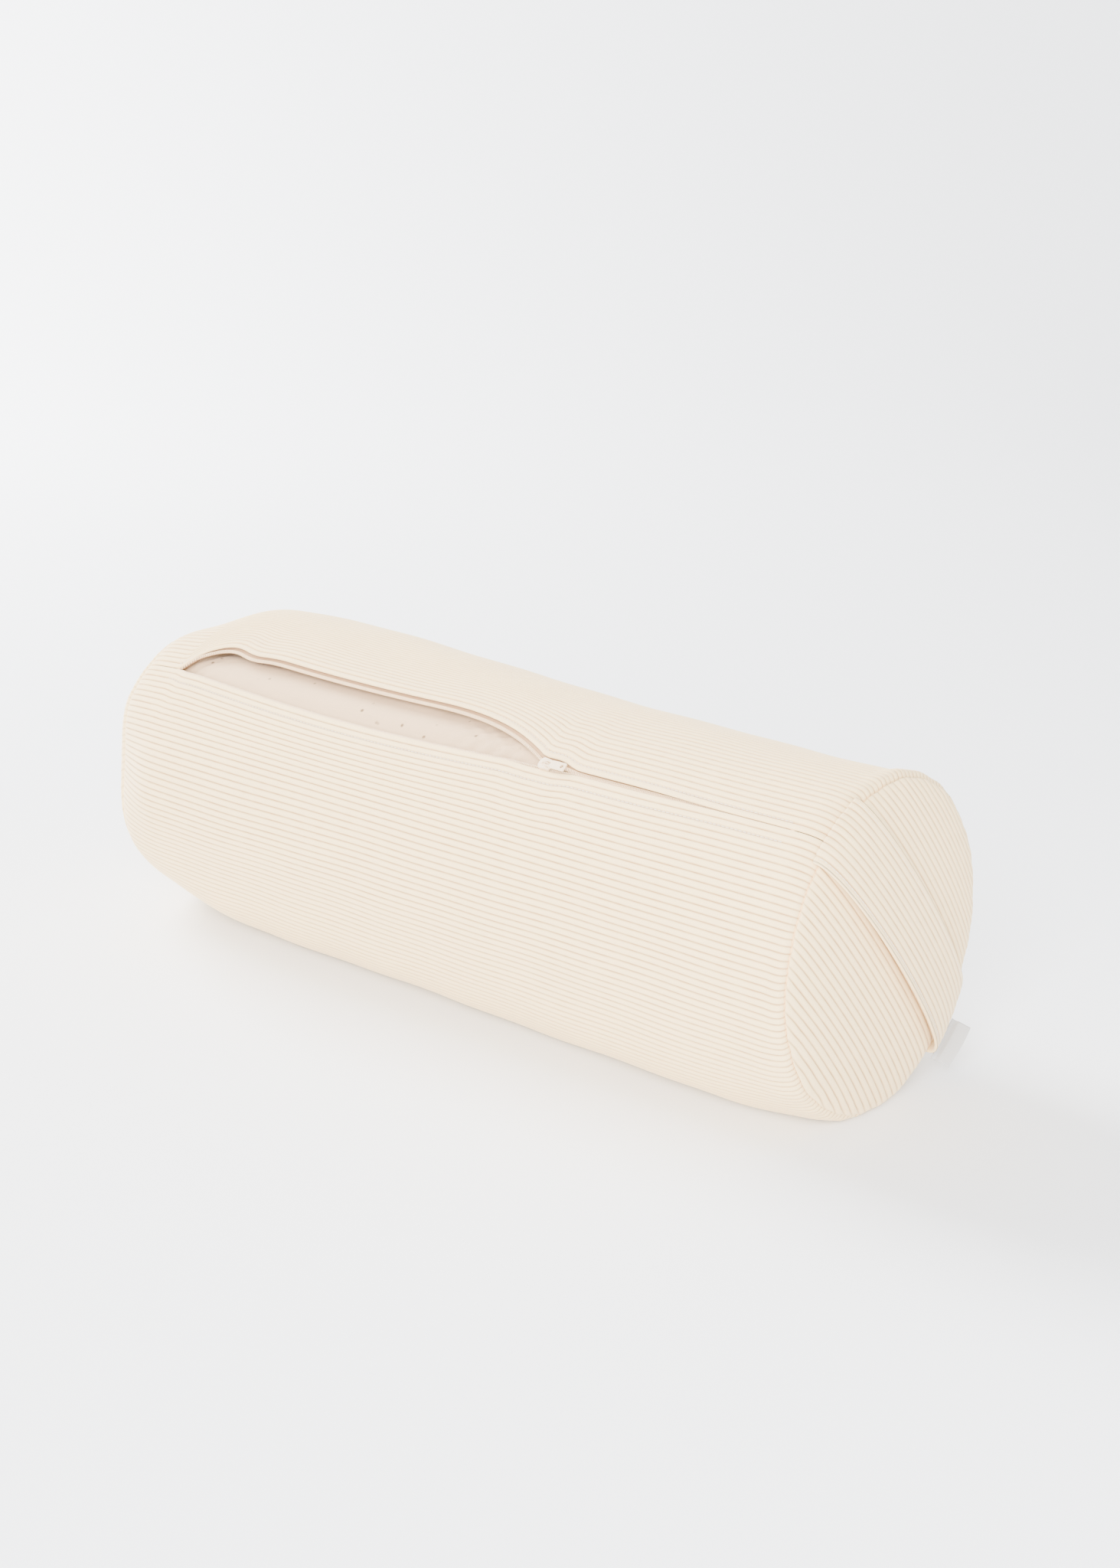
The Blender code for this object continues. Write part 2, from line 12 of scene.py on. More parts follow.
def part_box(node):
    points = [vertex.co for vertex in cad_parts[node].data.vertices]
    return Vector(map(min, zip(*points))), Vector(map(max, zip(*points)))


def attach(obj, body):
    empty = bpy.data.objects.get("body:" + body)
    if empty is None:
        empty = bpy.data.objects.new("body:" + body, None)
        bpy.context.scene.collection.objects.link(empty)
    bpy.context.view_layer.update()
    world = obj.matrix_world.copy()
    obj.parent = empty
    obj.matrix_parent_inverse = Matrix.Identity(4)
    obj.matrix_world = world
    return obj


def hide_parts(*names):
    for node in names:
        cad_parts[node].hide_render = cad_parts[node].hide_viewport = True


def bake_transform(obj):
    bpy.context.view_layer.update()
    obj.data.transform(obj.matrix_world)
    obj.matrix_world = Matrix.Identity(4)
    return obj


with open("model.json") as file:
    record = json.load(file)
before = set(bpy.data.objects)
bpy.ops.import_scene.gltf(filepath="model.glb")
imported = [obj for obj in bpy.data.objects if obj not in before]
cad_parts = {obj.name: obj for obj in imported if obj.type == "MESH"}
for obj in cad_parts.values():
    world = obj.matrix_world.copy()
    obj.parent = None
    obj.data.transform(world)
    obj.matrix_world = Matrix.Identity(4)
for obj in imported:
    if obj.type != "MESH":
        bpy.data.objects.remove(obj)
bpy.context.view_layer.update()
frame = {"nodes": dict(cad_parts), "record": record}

bl_info = {
    "name": "Corduroy Bolster",
    "version": (1, 0, 0),
    "blender": (4, 5, 0),
    "location": "3D View > Sidebar > Bolster",
    "description": "Builds a round corduroy floor bolster with an open zip, piece by piece",
    "category": "Object",
}

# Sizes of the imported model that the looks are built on
TUBE_LOW, TUBE_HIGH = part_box("cover_tube")
END_LOW, END_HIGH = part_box("cover_end_handle_side")
SLIDER_LOW, SLIDER_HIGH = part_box("zip_slider")
JOINTS = {joint["name"]: joint for joint in frame["record"]["behaviour"]["joints"]}
HALF_LENGTH = TUBE_HIGH[0]
RADIUS = (TUBE_HIGH[1] - TUBE_LOW[1]) / 2
AXIS_HEIGHT = TUBE_HIGH[2] - RADIUS
SEAM_RADIUS = (END_HIGH[1] - END_LOW[1]) / 2
END_BULGE = END_HIGH[0] - HALF_LENGTH
ZIP_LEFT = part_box("zip_top_stop_front")[0][0]
ZIP_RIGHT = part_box("zip_bottom_stop")[1][0]
SLIDER_REST = (SLIDER_LOW[0] + SLIDER_HIGH[0]) / 2
SLIDER_HEAD = SLIDER_LOW[0]
LIP_AXIS = Vector(JOINTS["back_lip_closing"]["axis"])
ZIP_ANGLE = math.atan2(-LIP_AXIS.y, -LIP_AXIS.z)
STRAP_ACROSS = Vector(JOINTS["label_fold"]["axis"])
STRAP_DIRECTION = Vector((0, STRAP_ACROSS.z, -STRAP_ACROSS.y))

# The roll's soft shape
SHOULDER_LENGTH = 0.018
SEAM_TUCK = 0.0028
FULLNESS = 0.0090
FULLEST_PLACE = -0.19
FULL_SPREAD = 0.11
SLACKNESS = 0.0060
SLACK_STRETCH = (-0.03, 0.15)
WAVINESS = 0.0007
RIPPLE = 0.0005
SETTLING = 0.0085
SETTLED_DEPTHS = (0.035, 0.092)
PLAIN_END_LIFT = 0.100
HANDLE_END_LIFT = 0.070
SEAM_HOLD = 0.014
CORNER_STRETCH = (HALF_LENGTH - 0.062, HALF_LENGTH + 0.006)
HANDLE_PUCKERS = 0.0003
PLAIN_PUCKERS = 0.0001
ZIP_CORNER_ROUNDING = 0.0045
BACK_CORNER_ROUNDING = 0.0245
BACK_FLATTENING = 0.0075
HANDLE_END_BULGE = 0.50 * END_BULGE
PLAIN_END_BULGE = 1.5 * END_BULGE
FLOOR_SOFTNESS = 0.003
CASE_FLOOR = 0.0042  # how high the pillow inside lies above the floor, cloth and slack between
SWELL_CAP = 0.0012

# The corduroy
RIB_SHARES = np.array([0.0, 0.085, 0.25, 0.5, 0.75, 0.915])
RIB_COLUMNS = len(RIB_SHARES)
HEM = 0.009
FOLD = 0.0011

# The opening
OPENING_LEFT = ZIP_LEFT + 0.006
LEFT_RUN = 0.045
SLIDER_RUN = 0.115
BACK_FADE = 0.095
FRONT_FADE = 0.060
COIL_DEPTH = 0.0022

# The camera and the point that it looks at
CAMERA_AZIMUTH = math.radians(41.2)
CAMERA_ELEVATION = math.radians(17.9)
CAMERA_DISTANCE = 1.4915
CAMERA_TARGET = Vector((0.0428, 0, 0.1525))
CAMERA_LENS = 51.8


def sizes():
    return bpy.context.scene.bolster_sizes


def colours():
    return bpy.context.scene.bolster_colours


def length(name, description, default):
    return FloatProperty(name=name, description=description, default=default, unit="LENGTH")


def paint(name, description, default):
    return FloatVectorProperty(name=name, description=description, default=default, subtype="COLOR")


class BolsterSizes(bpy.types.PropertyGroup):
    """The sizes that a user would change."""

    rib_pitch: length("Rib pitch", "From one corduroy rib to the next", 0.0045)
    rib_height: length("Rib height", "From groove to crown of a rib", 0.0009)
    gape: length("Gape", "How wide the zip stands open", 0.0262)
    front_sag: length("Front sag", "How far the front lip sags", 0.0055)
    tooth_pitch: length("Tooth pitch", "From one zip tooth to the next", 0.0013)
    stitch_length: length("Stitch length", "From one stitch to the next", 0.0031)


class BolsterColours(bpy.types.PropertyGroup):
    """The colours that a user would change."""

    corduroy: paint("Corduroy", "Crown of the ribs", (0.93, 0.695, 0.36))
    # Painted shade: this colour darkens the grooves between the ribs, where shade falls
    groove: paint("Groove", "Between the ribs", (0.46, 0.24, 0.09))
    calico: paint("Calico", "Inner pillow's cloth", (0.70, 0.48, 0.28))
    fleck: paint("Fleck", "Seed flecks in the calico", (0.16, 0.09, 0.04))
    fibre: paint("Fibre", "Loose filling", (0.80, 0.74, 0.62))
    # The tape's own tan, darkened with painted shade from under the back lip
    tape: paint("Zip tape", "Woven tape of the zip", (0.50, 0.30, 0.15))
    coil: paint("Zip coil", "Teeth of the zip", (0.88, 0.64, 0.38))
    enamel: paint("Enamel", "Slider and pull tab", (0.76, 0.57, 0.36))
    thread: paint("Thread", "Stitches", (0.82, 0.69, 0.52))
    label: paint("Label", "Woven label", (0.48, 0.465, 0.45))
    studio: paint("Studio", "Floor and backdrop", (0.90, 0.91, 0.93))


# ---------------------------------------------------------------- shapes shared by the pieces


def rise(value, start, end):
    """Turns smoothly from 0 at start to 1 at end."""
    share = np.clip((value - start) / (end - start), 0, 1)
    return share * share * (3 - 2 * share)


def eased(share, power):
    """Rises from 0 to 1, steeply at first."""
    return 1 - (1 - np.clip(share, 0, 1)) ** power


def on_roll(along, across, depth):
    """Points this far round the roll from the zip and this deep under its surface."""
    along, across, depth = np.broadcast_arrays(along, across, depth)
    angle = ZIP_ANGLE + across / RADIUS
    radius = RADIUS - depth
    return np.stack([along, -radius * np.cos(angle), AXIS_HEIGHT + radius * np.sin(angle)], -1)


def softened(points, floor=0.0):
    """The roll's own unevenness: fuller at its plain end, settled on the floor, flat where it rests.

    A piece inside the cover has a floor of its own, above the cloth it rests on.
    """
    points = np.array(points, float)
    along, y, z = points[..., 0], points[..., 1], points[..., 2] - AXIS_HEIGHT
    reach = np.hypot(y, z)
    angle = np.arctan2(z, -y)
    turned = np.abs((angle - ZIP_ANGLE + math.pi) % (2 * math.pi) - math.pi)
    away = rise(turned, 0.20, 1.0) * rise(z, -0.06, 0.05)
    inboard = 1 - rise(np.abs(along), HALF_LENGTH - SEAM_HOLD, HALF_LENGTH)
    full = FULLNESS * np.exp(-(((along - FULLEST_PLACE) / FULL_SPREAD) ** 2))
    full = full - SLACKNESS * rise(along, *SLACK_STRETCH) * inboard
    swell = (full + WAVINESS * np.sin(along * 31 + 2.1 * angle)) * away
    ends = rise(-along, HALF_LENGTH - PLAIN_END_LIFT, HALF_LENGTH)
    ends = ends + 0.75 * rise(along, HALF_LENGTH - HANDLE_END_LIFT, HALF_LENGTH)
    swell = swell + SETTLING * rise(-z, *SETTLED_DEPTHS) * (1 - ends)
    swell = swell - BACK_FLATTENING * rise(y, 0.0, 0.090) * rise(along, 0.120, HALF_LENGTH)
    ripple = np.sin(55 * along + 3 * angle) * np.sin(8 * angle - 21 * along)
    ripple = ripple + 0.6 * np.sin(23 * along - 5 * angle)
    swell = swell + RIPPLE * ripple * rise(turned, 0.15, 0.6) * rise(reach, 0.07, 0.10)
    corner = ZIP_CORNER_ROUNDING + (BACK_CORNER_ROUNDING - ZIP_CORNER_ROUNDING) * away
    swell = swell - corner * rise(-along, *CORNER_STRETCH) ** 1.5
    pucker = rise(np.abs(along), HALF_LENGTH - 0.020, HALF_LENGTH - 0.002) * rise(reach, 0.088, 0.103)
    pucker = np.where(along > 0, HANDLE_PUCKERS, PLAIN_PUCKERS) * pucker
    swell = swell + pucker * (np.sin(34 * angle + 2 * np.sin(5 * angle)) - 0.4)
    scale = 1 + swell / np.maximum(reach, 0.02) * (reach / RADIUS) ** 2
    points[..., 1] = y * scale
    height = AXIS_HEIGHT + z * scale - floor
    low = np.clip((height + FLOOR_SOFTNESS) / (2 * FLOOR_SOFTNESS), 0, 1)
    points[..., 2] = floor + np.where(height > FLOOR_SOFTNESS, height, FLOOR_SOFTNESS * low * low)
    return points


def hollow(along, across):
    """How much deeper the pillow lies behind the back lip, where the closing cloth is drawn over it."""
    band = rise(across, 0.022, 0.040) * (1 - rise(across, 0.105, 0.130))
    return 0.0055 * band * rise(back_bow(along), 0.001, 0.010)


def front_sag(along):
    """How far the front lip sags away from the closed line."""
    share = np.clip((along + 0.235) / 0.322, 0, 1)
    return sizes().front_sag * np.sin(math.pi * share)


def back_bow(along):
    """How far the back lip stands back from the closed line."""
    whole = eased((along - OPENING_LEFT) / LEFT_RUN, 2) * eased((SLIDER_HEAD - along) / SLIDER_RUN, 2.5)
    wave = 0.0030 * np.exp(-(((along + 0.203) / 0.016) ** 2))
    return whole * (sizes().gape - wave) - front_sag(along) * rise(whole, 0, 0.3)


def beside_slider(along):
    """1 where the lips part round the slider, 0 elsewhere."""
    return rise(along, SLIDER_HEAD - 0.030, SLIDER_HEAD) * (1 - rise(along, 0.099, 0.119))


def open_share(along):
    """1 in the open stretch of the zip and 0 where it is closed."""
    return rise(along, OPENING_LEFT, OPENING_LEFT + 0.012) * (1 - rise(along, 0.099, 0.119))


def closed_gap(along):
    """Half the gap between the lips of the closed zip, which shuts towards the handle end."""
    return 0.0003 + 0.0013 * rise(along, OPENING_LEFT, OPENING_LEFT + 0.012) * (1 - rise(along, 0.16, 0.240))


def back_edge(along):
    """Where the back lip's cloth ends, round the roll from the closed line."""
    return back_bow(along) + closed_gap(along) + 0.0041 * open_share(along)


def front_edge(along):
    """Where the front lip's cloth ends."""
    return -front_sag(along) - closed_gap(along) - 0.0002 * open_share(along) - 0.0020 * beside_slider(along)


def spread_along(start, end, step):
    return np.linspace(start, end, max(2, int(round(abs(end - start) / step)) + 1))


# ---------------------------------------------------------------- meshes


def new_piece(name, data):
    piece = bpy.data.objects.new(name, data)
    bpy.context.scene.collection.objects.link(piece)
    return piece


def mesh_of(name, points, faces):
    mesh = bpy.data.meshes.new(name)
    mesh.from_pydata(np.reshape(points, (-1, 3)).tolist(), [], faces)
    mesh.shade_smooth()
    return mesh


def grid_faces(rows, columns, round_rows=False, round_columns=False, start=0):
    """The quads of a grid of points, which may close on itself either way."""
    index = np.arange(rows * columns).reshape(rows, columns) + start
    if round_rows:
        index = np.vstack([index, index[:1]])
    if round_columns:
        index = np.hstack([index, index[:, :1]])
    corners = index[:-1, :-1], index[1:, :-1], index[1:, 1:], index[:-1, 1:]
    return np.stack(corners, -1).reshape(-1, 4).tolist()


def end_caps(rows, columns, start=0):
    """The two faces that close a tube of rings."""
    last = start + (rows - 1) * columns
    return [list(range(start, start + columns)), list(range(last + columns - 1, last - 1, -1))]


def cloth_piece(name, points, flat, groove=None, capped=False, **rounds):
    """A piece from a grid of points, with its cloth coordinates and the marks of painted groove shade for
    the finish.
    """
    rows, columns = points.shape[:2]
    faces = grid_faces(rows, columns, **rounds)
    if capped:
        faces += end_caps(rows, columns)
    mesh = mesh_of(name, points, faces)
    place = mesh.attributes.new("cloth", "FLOAT_VECTOR", "POINT")
    place.data.foreach_set("vector", np.asarray(flat, np.float32).ravel())
    # This attribute carries where the finish paints shade into the grooves
    if groove is not None:
        depth = mesh.attributes.new("groove", "FLOAT", "POINT")
        values = np.broadcast_to(groove, (rows, columns)).astype(np.float32)
        depth.data.foreach_set("value", values.ravel())
    return new_piece(name, mesh)


def flat_places(along, across):
    """Cloth coordinates in metres, for a grid of points."""
    along, across = np.broadcast_arrays(along, across)
    return np.stack([along, across, np.zeros_like(along)], -1)


def rib_profile(share):
    """A rib's depth below its crown, from one groove to the next, in rib heights."""
    return 1 - np.sin(math.pi * (share % 1.0)) ** 0.38


def groove_shade_mark(share):
    """Where shade is painted into the grooves: 1 in the groove, falling to 0 part of the way up the rib."""
    near = np.minimum(share % 1.0, 1 - share % 1.0)
    return np.clip(1 - near / 0.17, 0, 1)


def rib_places(count):
    """Where the columns of this many ribs stand, in ribs, from groove to groove."""
    return np.append((np.arange(count)[:, None] + RIB_SHARES).ravel(), count)


def frames_along(path):
    """For a row of points: the way along it, and two ways square to it."""
    ahead = np.gradient(path, axis=0)
    ahead /= np.linalg.norm(ahead, axis=1, keepdims=True)
    outward = path * [0, 1, 1] - [0, 0, AXIS_HEIGHT]
    outward /= np.linalg.norm(outward, axis=1, keepdims=True)
    side = np.cross(ahead, outward)
    side /= np.linalg.norm(side, axis=1, keepdims=True)
    return ahead, side, np.cross(side, ahead)


def stitch_row(name, path, radius, sides=6, sink=0.4):
    """Separate stitches along a path, each a short thread whose ends dive into the cloth."""
    path = np.asarray(path, float)
    steps = np.linalg.norm(np.diff(path, axis=0), axis=1)
    run = np.concatenate([[0], np.cumsum(steps)])
    count = max(1, int(run[-1] / sizes().stitch_length))
    ahead, side, up = frames_along(path)
    shares = np.linspace(-0.5, 0.5, 7)
    arch = 1 - (2 * shares) ** 4
    thin = 0.35 + 0.65 * np.sqrt(np.clip(1 - (2 * shares) ** 4, 0, 1))
    turns = np.linspace(0, 2 * math.pi, sides, endpoint=False)
    points, faces = [], []
    for number in range(count):
        middle = (number + 0.5) * run[-1] / count
        at = middle + shares * 0.86 * run[-1] / count
        centre = np.stack([np.interp(at, run, path[:, axis]) for axis in range(3)], -1)
        lift = np.stack([np.interp(at, run, up[:, axis]) for axis in range(3)], -1)
        wide = np.stack([np.interp(at, run, side[:, axis]) for axis in range(3)], -1)
        centre = centre + lift * ((arch - 1) * radius * 2 * sink)[:, None]
        ring = (
            centre[:, None]
            + (thin[:, None] * radius * np.cos(turns))[..., None] * wide[:, None]
            + (thin[:, None] * radius * np.sin(turns))[..., None] * lift[:, None]
        )
        start = len(points) * ring.shape[0] * ring.shape[1]
        faces += grid_faces(len(shares), sides, round_columns=True, start=start)
        faces += end_caps(len(shares), sides, start)
        points.append(ring)
    return new_piece(name, mesh_of(name, np.array(points), faces))


def bend_with_lip(piece):
    """Bakes the piece's transform into its mesh."""
    closed = Vector(on_roll(0, 0, 0).tolist())
    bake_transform(piece)


# ---------------------------------------------------------------- finishes


class Finish:
    """A Principled material, and short ways to add nodes to it."""

    def __init__(self, name, roughness=0.9, **constants):
        self.material = bpy.data.materials.new(name)
        self.material.use_nodes = True
        self.tree = self.material.node_tree
        self.shader = self.tree.nodes["Principled BSDF"]
        self.shader.inputs["Roughness"].default_value = roughness
        for socket, value in constants.items():
            self.shader.inputs[socket.replace("_", " ")].default_value = value
        self.normal = None

    def add(self, kind, inputs=(), **settings):
        node = self.tree.nodes.new("ShaderNode" + kind)
        for key, value in settings.items():
            setattr(node, key, value)
        for key, value in dict(inputs).items():
            if isinstance(value, bpy.types.NodeSocket):
                self.tree.links.new(value, node.inputs[key])
            else:
                node.inputs[key].default_value = value
        return node

    def attribute(self, name, output):
        return self.add("Attribute", attribute_name=name).outputs[output]

    def object_place(self):
        return self.add("TexCoord").outputs["Object"]

    def stretched(self, place, scale):
        return self.add("Mapping", {"Vector": place, "Scale": scale}).outputs[0]

    def noise(self, place, scale, detail=3.0, rough=0.5):
        inputs = {"Vector": place, "Scale": scale, "Detail": detail, "Roughness": rough}
        return self.add("TexNoise", inputs).outputs["Fac"]

    def math(self, operation, first, second=0.0):
        node = self.add("Math", {0: first, 1: second}, operation=operation)
        return node.outputs[0]

    def ranged(self, value, low, high, new_low=0.0, new_high=1.0):
        inputs = {"Value": value, "From Min": low, "From Max": high, "To Min": new_low, "To Max": new_high}
        return self.add("MapRange", inputs).outputs[0]

    def mixed(self, factor, first, second):
        tones = [c if isinstance(c, bpy.types.NodeSocket) else (*c, 1) for c in (first, second)]
        node = self.add("Mix", {0: factor, 6: tones[0], 7: tones[1]}, data_type="RGBA")
        return node.outputs[2]

    def bump(self, height, distance, strength=1.0):
        inputs = {"Height": height, "Distance": distance, "Strength": strength}
        if self.normal:
            inputs["Normal"] = self.normal
        self.normal = self.add("Bump", inputs).outputs["Normal"]

    def done(self, colour):
        self.tree.links.new(colour, self.shader.inputs["Base Color"])
        if self.normal:
            self.tree.links.new(self.normal, self.shader.inputs["Normal"])
        return self.material


def tinted(colour, by):
    return tuple(max(0.0, min(1.0, channel * by)) for channel in colour)


def finish_once(name, make):
    """The finish of that name, made the first time that a piece needs it."""
    return bpy.data.materials.get(name) or make(name)


def corduroy(name):
    """Cotton corduroy: soft pale crowns, thin grooves darkened with painted shade, a fine nap."""
    finish = Finish(name, roughness=0.92, Sheen_Weight=0.25, Sheen_Roughness=0.45)
    finish.shader.inputs["Specular IOR Level"].default_value = 0.15
    cloth = finish.attribute("cloth", "Vector")
    groove = finish.attribute("groove", "Fac")
    patches = finish.noise(cloth, 26, 3)
    nap = finish.noise(finish.stretched(cloth, (0.35, 1.0, 1.0)), 520, 3)
    uneven = finish.ranged(finish.noise(cloth, 90, 2), 0.3, 0.7, 0.75, 1.15)
    # Painted shade: the groove marks, varied a little at random, mix the crown colour towards the dark
    # groove colour
    depth = finish.math("MULTIPLY", finish.math("POWER", groove, 1.25), uneven)
    crown = finish.mixed(patches, tinted(colours().corduroy, 0.965), tinted(colours().corduroy, 1.03))
    crown = finish.mixed(finish.ranged(nap, 0.35, 0.7, 0, 0.16), crown, tinted(colours().corduroy, 0.86))
    colour = finish.mixed(finish.math("MINIMUM", depth, 0.92), crown, colours().groove)
    finish.bump(nap, 0.00035, 0.6)
    finish.bump(finish.noise(cloth, 1500, 2), 0.00012, 0.5)
    return finish.done(colour)


def calico(name):
    """Unbleached plain-weave cotton with seed flecks."""
    finish = Finish(name, roughness=0.95, Sheen_Weight=0.15)
    finish.shader.inputs["Specular IOR Level"].default_value = 0.15
    cloth = finish.attribute("cloth", "Vector")
    warp = finish.noise(finish.stretched(cloth, (60, 1500, 1)), 1.0, 2)
    weft = finish.noise(finish.stretched(cloth, (1500, 60, 1)), 1.0, 2)
    slubs = finish.math("MAXIMUM", warp, weft)
    spots = finish.add("TexVoronoi", {"Vector": cloth, "Scale": 95.0}, feature="F1").outputs["Distance"]
    chance = finish.ranged(finish.noise(cloth, 60, 1), 0.50, 0.58)
    fleck = finish.math("MULTIPLY", finish.ranged(spots, 0.17, 0.09), chance)
    patches = finish.noise(cloth, 22, 3)
    colour = finish.mixed(patches, tinted(colours().calico, 0.94), tinted(colours().calico, 1.04))
    colour = finish.mixed(finish.ranged(slubs, 0.45, 0.75, 0, 0.35), colour, tinted(colours().calico, 0.80))
    colour = finish.mixed(finish.math("MULTIPLY", fleck, 0.9), colour, colours().fleck)
    finish.bump(slubs, 0.0002, 0.7)
    return finish.done(colour)


def woven(name, shade, pitch, roughness=0.9, sheen=0.1):
    """Close-woven tape or ribbon, with a herringbone of raised threads."""
    finish = Finish(name, roughness=roughness, Sheen_Weight=sheen)
    place = finish.object_place()
    threads = finish.add(
        "TexWave", {"Vector": place, "Scale": 1 / pitch / 3.2, "Distortion": 1.5, "Detail": 1.0}
    ).outputs["Fac"]
    colour = finish.mixed(threads, tinted(shade, 0.86), tinted(shade, 1.05))
    patches = finish.ranged(finish.noise(place, 300), 0.3, 0.7, 0, 0.3)
    colour = finish.mixed(patches, colour, tinted(shade, 0.9))
    finish.bump(threads, pitch * 0.25, 0.6)
    return finish.done(colour)


def thread(name):
    """Twisted sewing thread."""
    finish = Finish(name, roughness=0.75, Sheen_Weight=0.2)
    place = finish.object_place()
    ply = finish.noise(finish.stretched(place, (900, 900, 900)), 1.0, 2)
    colour = finish.mixed(ply, tinted(colours().thread, 0.80), tinted(colours().thread, 1.06))
    finish.bump(ply, 0.0001, 0.6)
    return finish.done(colour)


def nylon(name):
    """Dyed nylon monofilament of the zip's coil."""
    finish = Finish(name, roughness=0.45, Coat_Weight=0.1)
    place = finish.object_place()
    cloudy = finish.noise(place, 400, 2)
    colour = finish.mixed(cloudy, tinted(colours().coil, 0.88), tinted(colours().coil, 1.05))
    finish.bump(finish.noise(place, 2500, 2), 0.00005, 0.4)
    return finish.done(colour)


def enamel(name):
    """Cream enamel over cast zinc, a little worn."""
    finish = Finish(name, roughness=0.35, Coat_Weight=0.3, Coat_Roughness=0.2)
    place = finish.object_place()
    worn = finish.ranged(finish.noise(place, 900, 3), 0.6, 0.8, 0, 0.35)
    colour = finish.mixed(worn, tinted(colours().enamel, 1.0), tinted(colours().enamel, 0.72))
    finish.bump(finish.noise(place, 700, 2), 0.00006, 0.5)
    return finish.done(colour)


def fibre(name):
    """Loose combed fibre."""
    finish = Finish(name, roughness=1.0, Sheen_Weight=0.3)
    place = finish.object_place()
    tufts = finish.noise(place, 70, 5, 0.65)
    colour = finish.mixed(tufts, tinted(colours().fibre, 0.85), tinted(colours().fibre, 1.05))
    finish.bump(finish.noise(finish.stretched(place, (1, 6, 6)), 120, 4, 0.7), 0.002, 0.8)
    return finish.done(colour)


def dressed(piece, name, make):
    """Gives a piece its finish, which is made once under its name."""
    piece.data.materials.clear()
    piece.data.materials.append(finish_once(name, make))
    return piece


# ---------------------------------------------------------------- the cover


def tube_stations():
    """Places along the tube, closer together where the lips bend, then round both shoulders."""
    shoulder = HALF_LENGTH - SHOULDER_LENGTH
    inner = [
        spread_along(-shoulder, -0.190, 0.0042),
        spread_along(-0.190, 0.050, 0.0085),
        spread_along(0.050, 0.130, 0.0050),
        spread_along(0.130, shoulder, 0.0085),
    ]
    turns = np.linspace(0, math.pi / 2, 9)[1:]
    end = shoulder + SHOULDER_LENGTH * np.sin(turns)
    return np.unique(np.round(np.concatenate([-end, *inner, end]), 6))


def shoulder_drop(along):
    """How far the tube's surface falls towards its end seams."""
    share = np.clip((np.abs(along) - HALF_LENGTH + SHOULDER_LENGTH) / SHOULDER_LENGTH, 0, 1)
    fall = 1 - np.sqrt(1 - share**2)
    return (RADIUS - SEAM_RADIUS) * fall


def hem_profile(inward_first):
    """The turned-under hem from inside to the fold, as (distance into the cloth, depth)."""
    turns = np.radians([-90, -45, 0, 45])
    fold = [(FOLD * (1 - math.cos(t)), FOLD * (1 - math.sin(t))) for t in turns]
    under = [(HEM, 2 * FOLD), (HEM / 2, 2 * FOLD), (2.5 * FOLD, 2 * FOLD)]
    profile = under + fold
    return profile if inward_first else profile[::-1]


class BOLSTER_OT_cover_tube(bpy.types.Operator):
    """The long corduroy panel, from its back lip round the roll to its front lip"""

    bl_idname = "bolster.cover_tube"
    bl_label = "Cover tube"

    def execute(self, context):
        girth = 2 * math.pi * RADIUS
        ribs = round(girth / sizes().rib_pitch)
        places = rib_places(ribs)
        first, last = 2, len(places) - 2
        along = tube_stations()
        rows = len(along)
        body = places[first:last]
        across_share = body / ribs
        back_hem, front_hem = hem_profile(True), hem_profile(False)
        back = [(into / girth, depth, 0.0) for into, depth in back_hem]
        front = [(1 - into / girth, depth, 0.0) for into, depth in front_hem]
        crown = rib_profile(body) * sizes().rib_height
        # Each column: its share round the roll, its depth below the crown and its painted groove shade
        middle = list(zip(across_share, crown, groove_shade_mark(body)))
        share, depth, groove = np.array(back + middle + front).T
        from_back = girth * share
        from_front = girth * (1 - share)
        hold_back = 1 - rise(from_back, 0.002, BACK_FADE)
        hold_front = 1 - rise(from_front, 0.002, FRONT_FADE)
        line = along[:, None]
        across = from_back[None] + back_edge(line) * hold_back + front_edge(line) * hold_front
        proud = np.clip(back_bow(line) / sizes().gape, 0, 1) + 0.8 * (1 - rise(line, 0.15, 0.24))
        lifted = -0.0009 * proud * (1 - rise(from_back, 0, 0.02))
        lifted = lifted * rise(line, OPENING_LEFT, OPENING_LEFT + 0.02)
        hem_groove = 0.0007 * np.exp(-(((from_back - sizes().rib_pitch) / 0.0009) ** 2))
        hem_groove = hem_groove + 0.0004 * np.exp(-(((from_front - 2 * sizes().rib_pitch) / 0.0009) ** 2))
        lifted = lifted + hem_groove
        tuck = depth[None] + shoulder_drop(line) + lifted
        points = softened(on_roll(line, across, tuck))
        ends = [self.tucked(points[row], side) for row, side in ((0, -1), (rows - 1, 1))]
        points = np.concatenate([ends[0][::-1], points, ends[1]])
        along = np.concatenate([[along[0]] * len(ends[0]), along, [along[-1]] * len(ends[1])])
        flat = flat_places(along[:, None], from_back[None])
        piece = cloth_piece("cover_tube_cloth", points, flat, groove[None])
        bend_with_lip(piece)
        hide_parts("cover_tube")
        dressed(piece, "wide_wale_corduroy", corduroy)
        return {"FINISHED"}

    def tucked(self, rim, side):
        """Two more rows that turn the panel's end down into the seam."""
        centre = np.array([0, 0, AXIS_HEIGHT])
        rows = []
        for out, down in ((0.0006, 0.3), (0.0004, 1.0)):
            row = rim - (rim - centre) * [0, 1, 1] * (SEAM_TUCK * down / SEAM_RADIUS)
            rows.append(row + [side * out, 0, 0])
        return np.array(rows)


def dome_height(share):
    """How far an end panel bulges, from its middle, 0, to its rim, 1, in bulges."""
    return np.clip(1 - share**2.1, 0, 1) ** 0.56


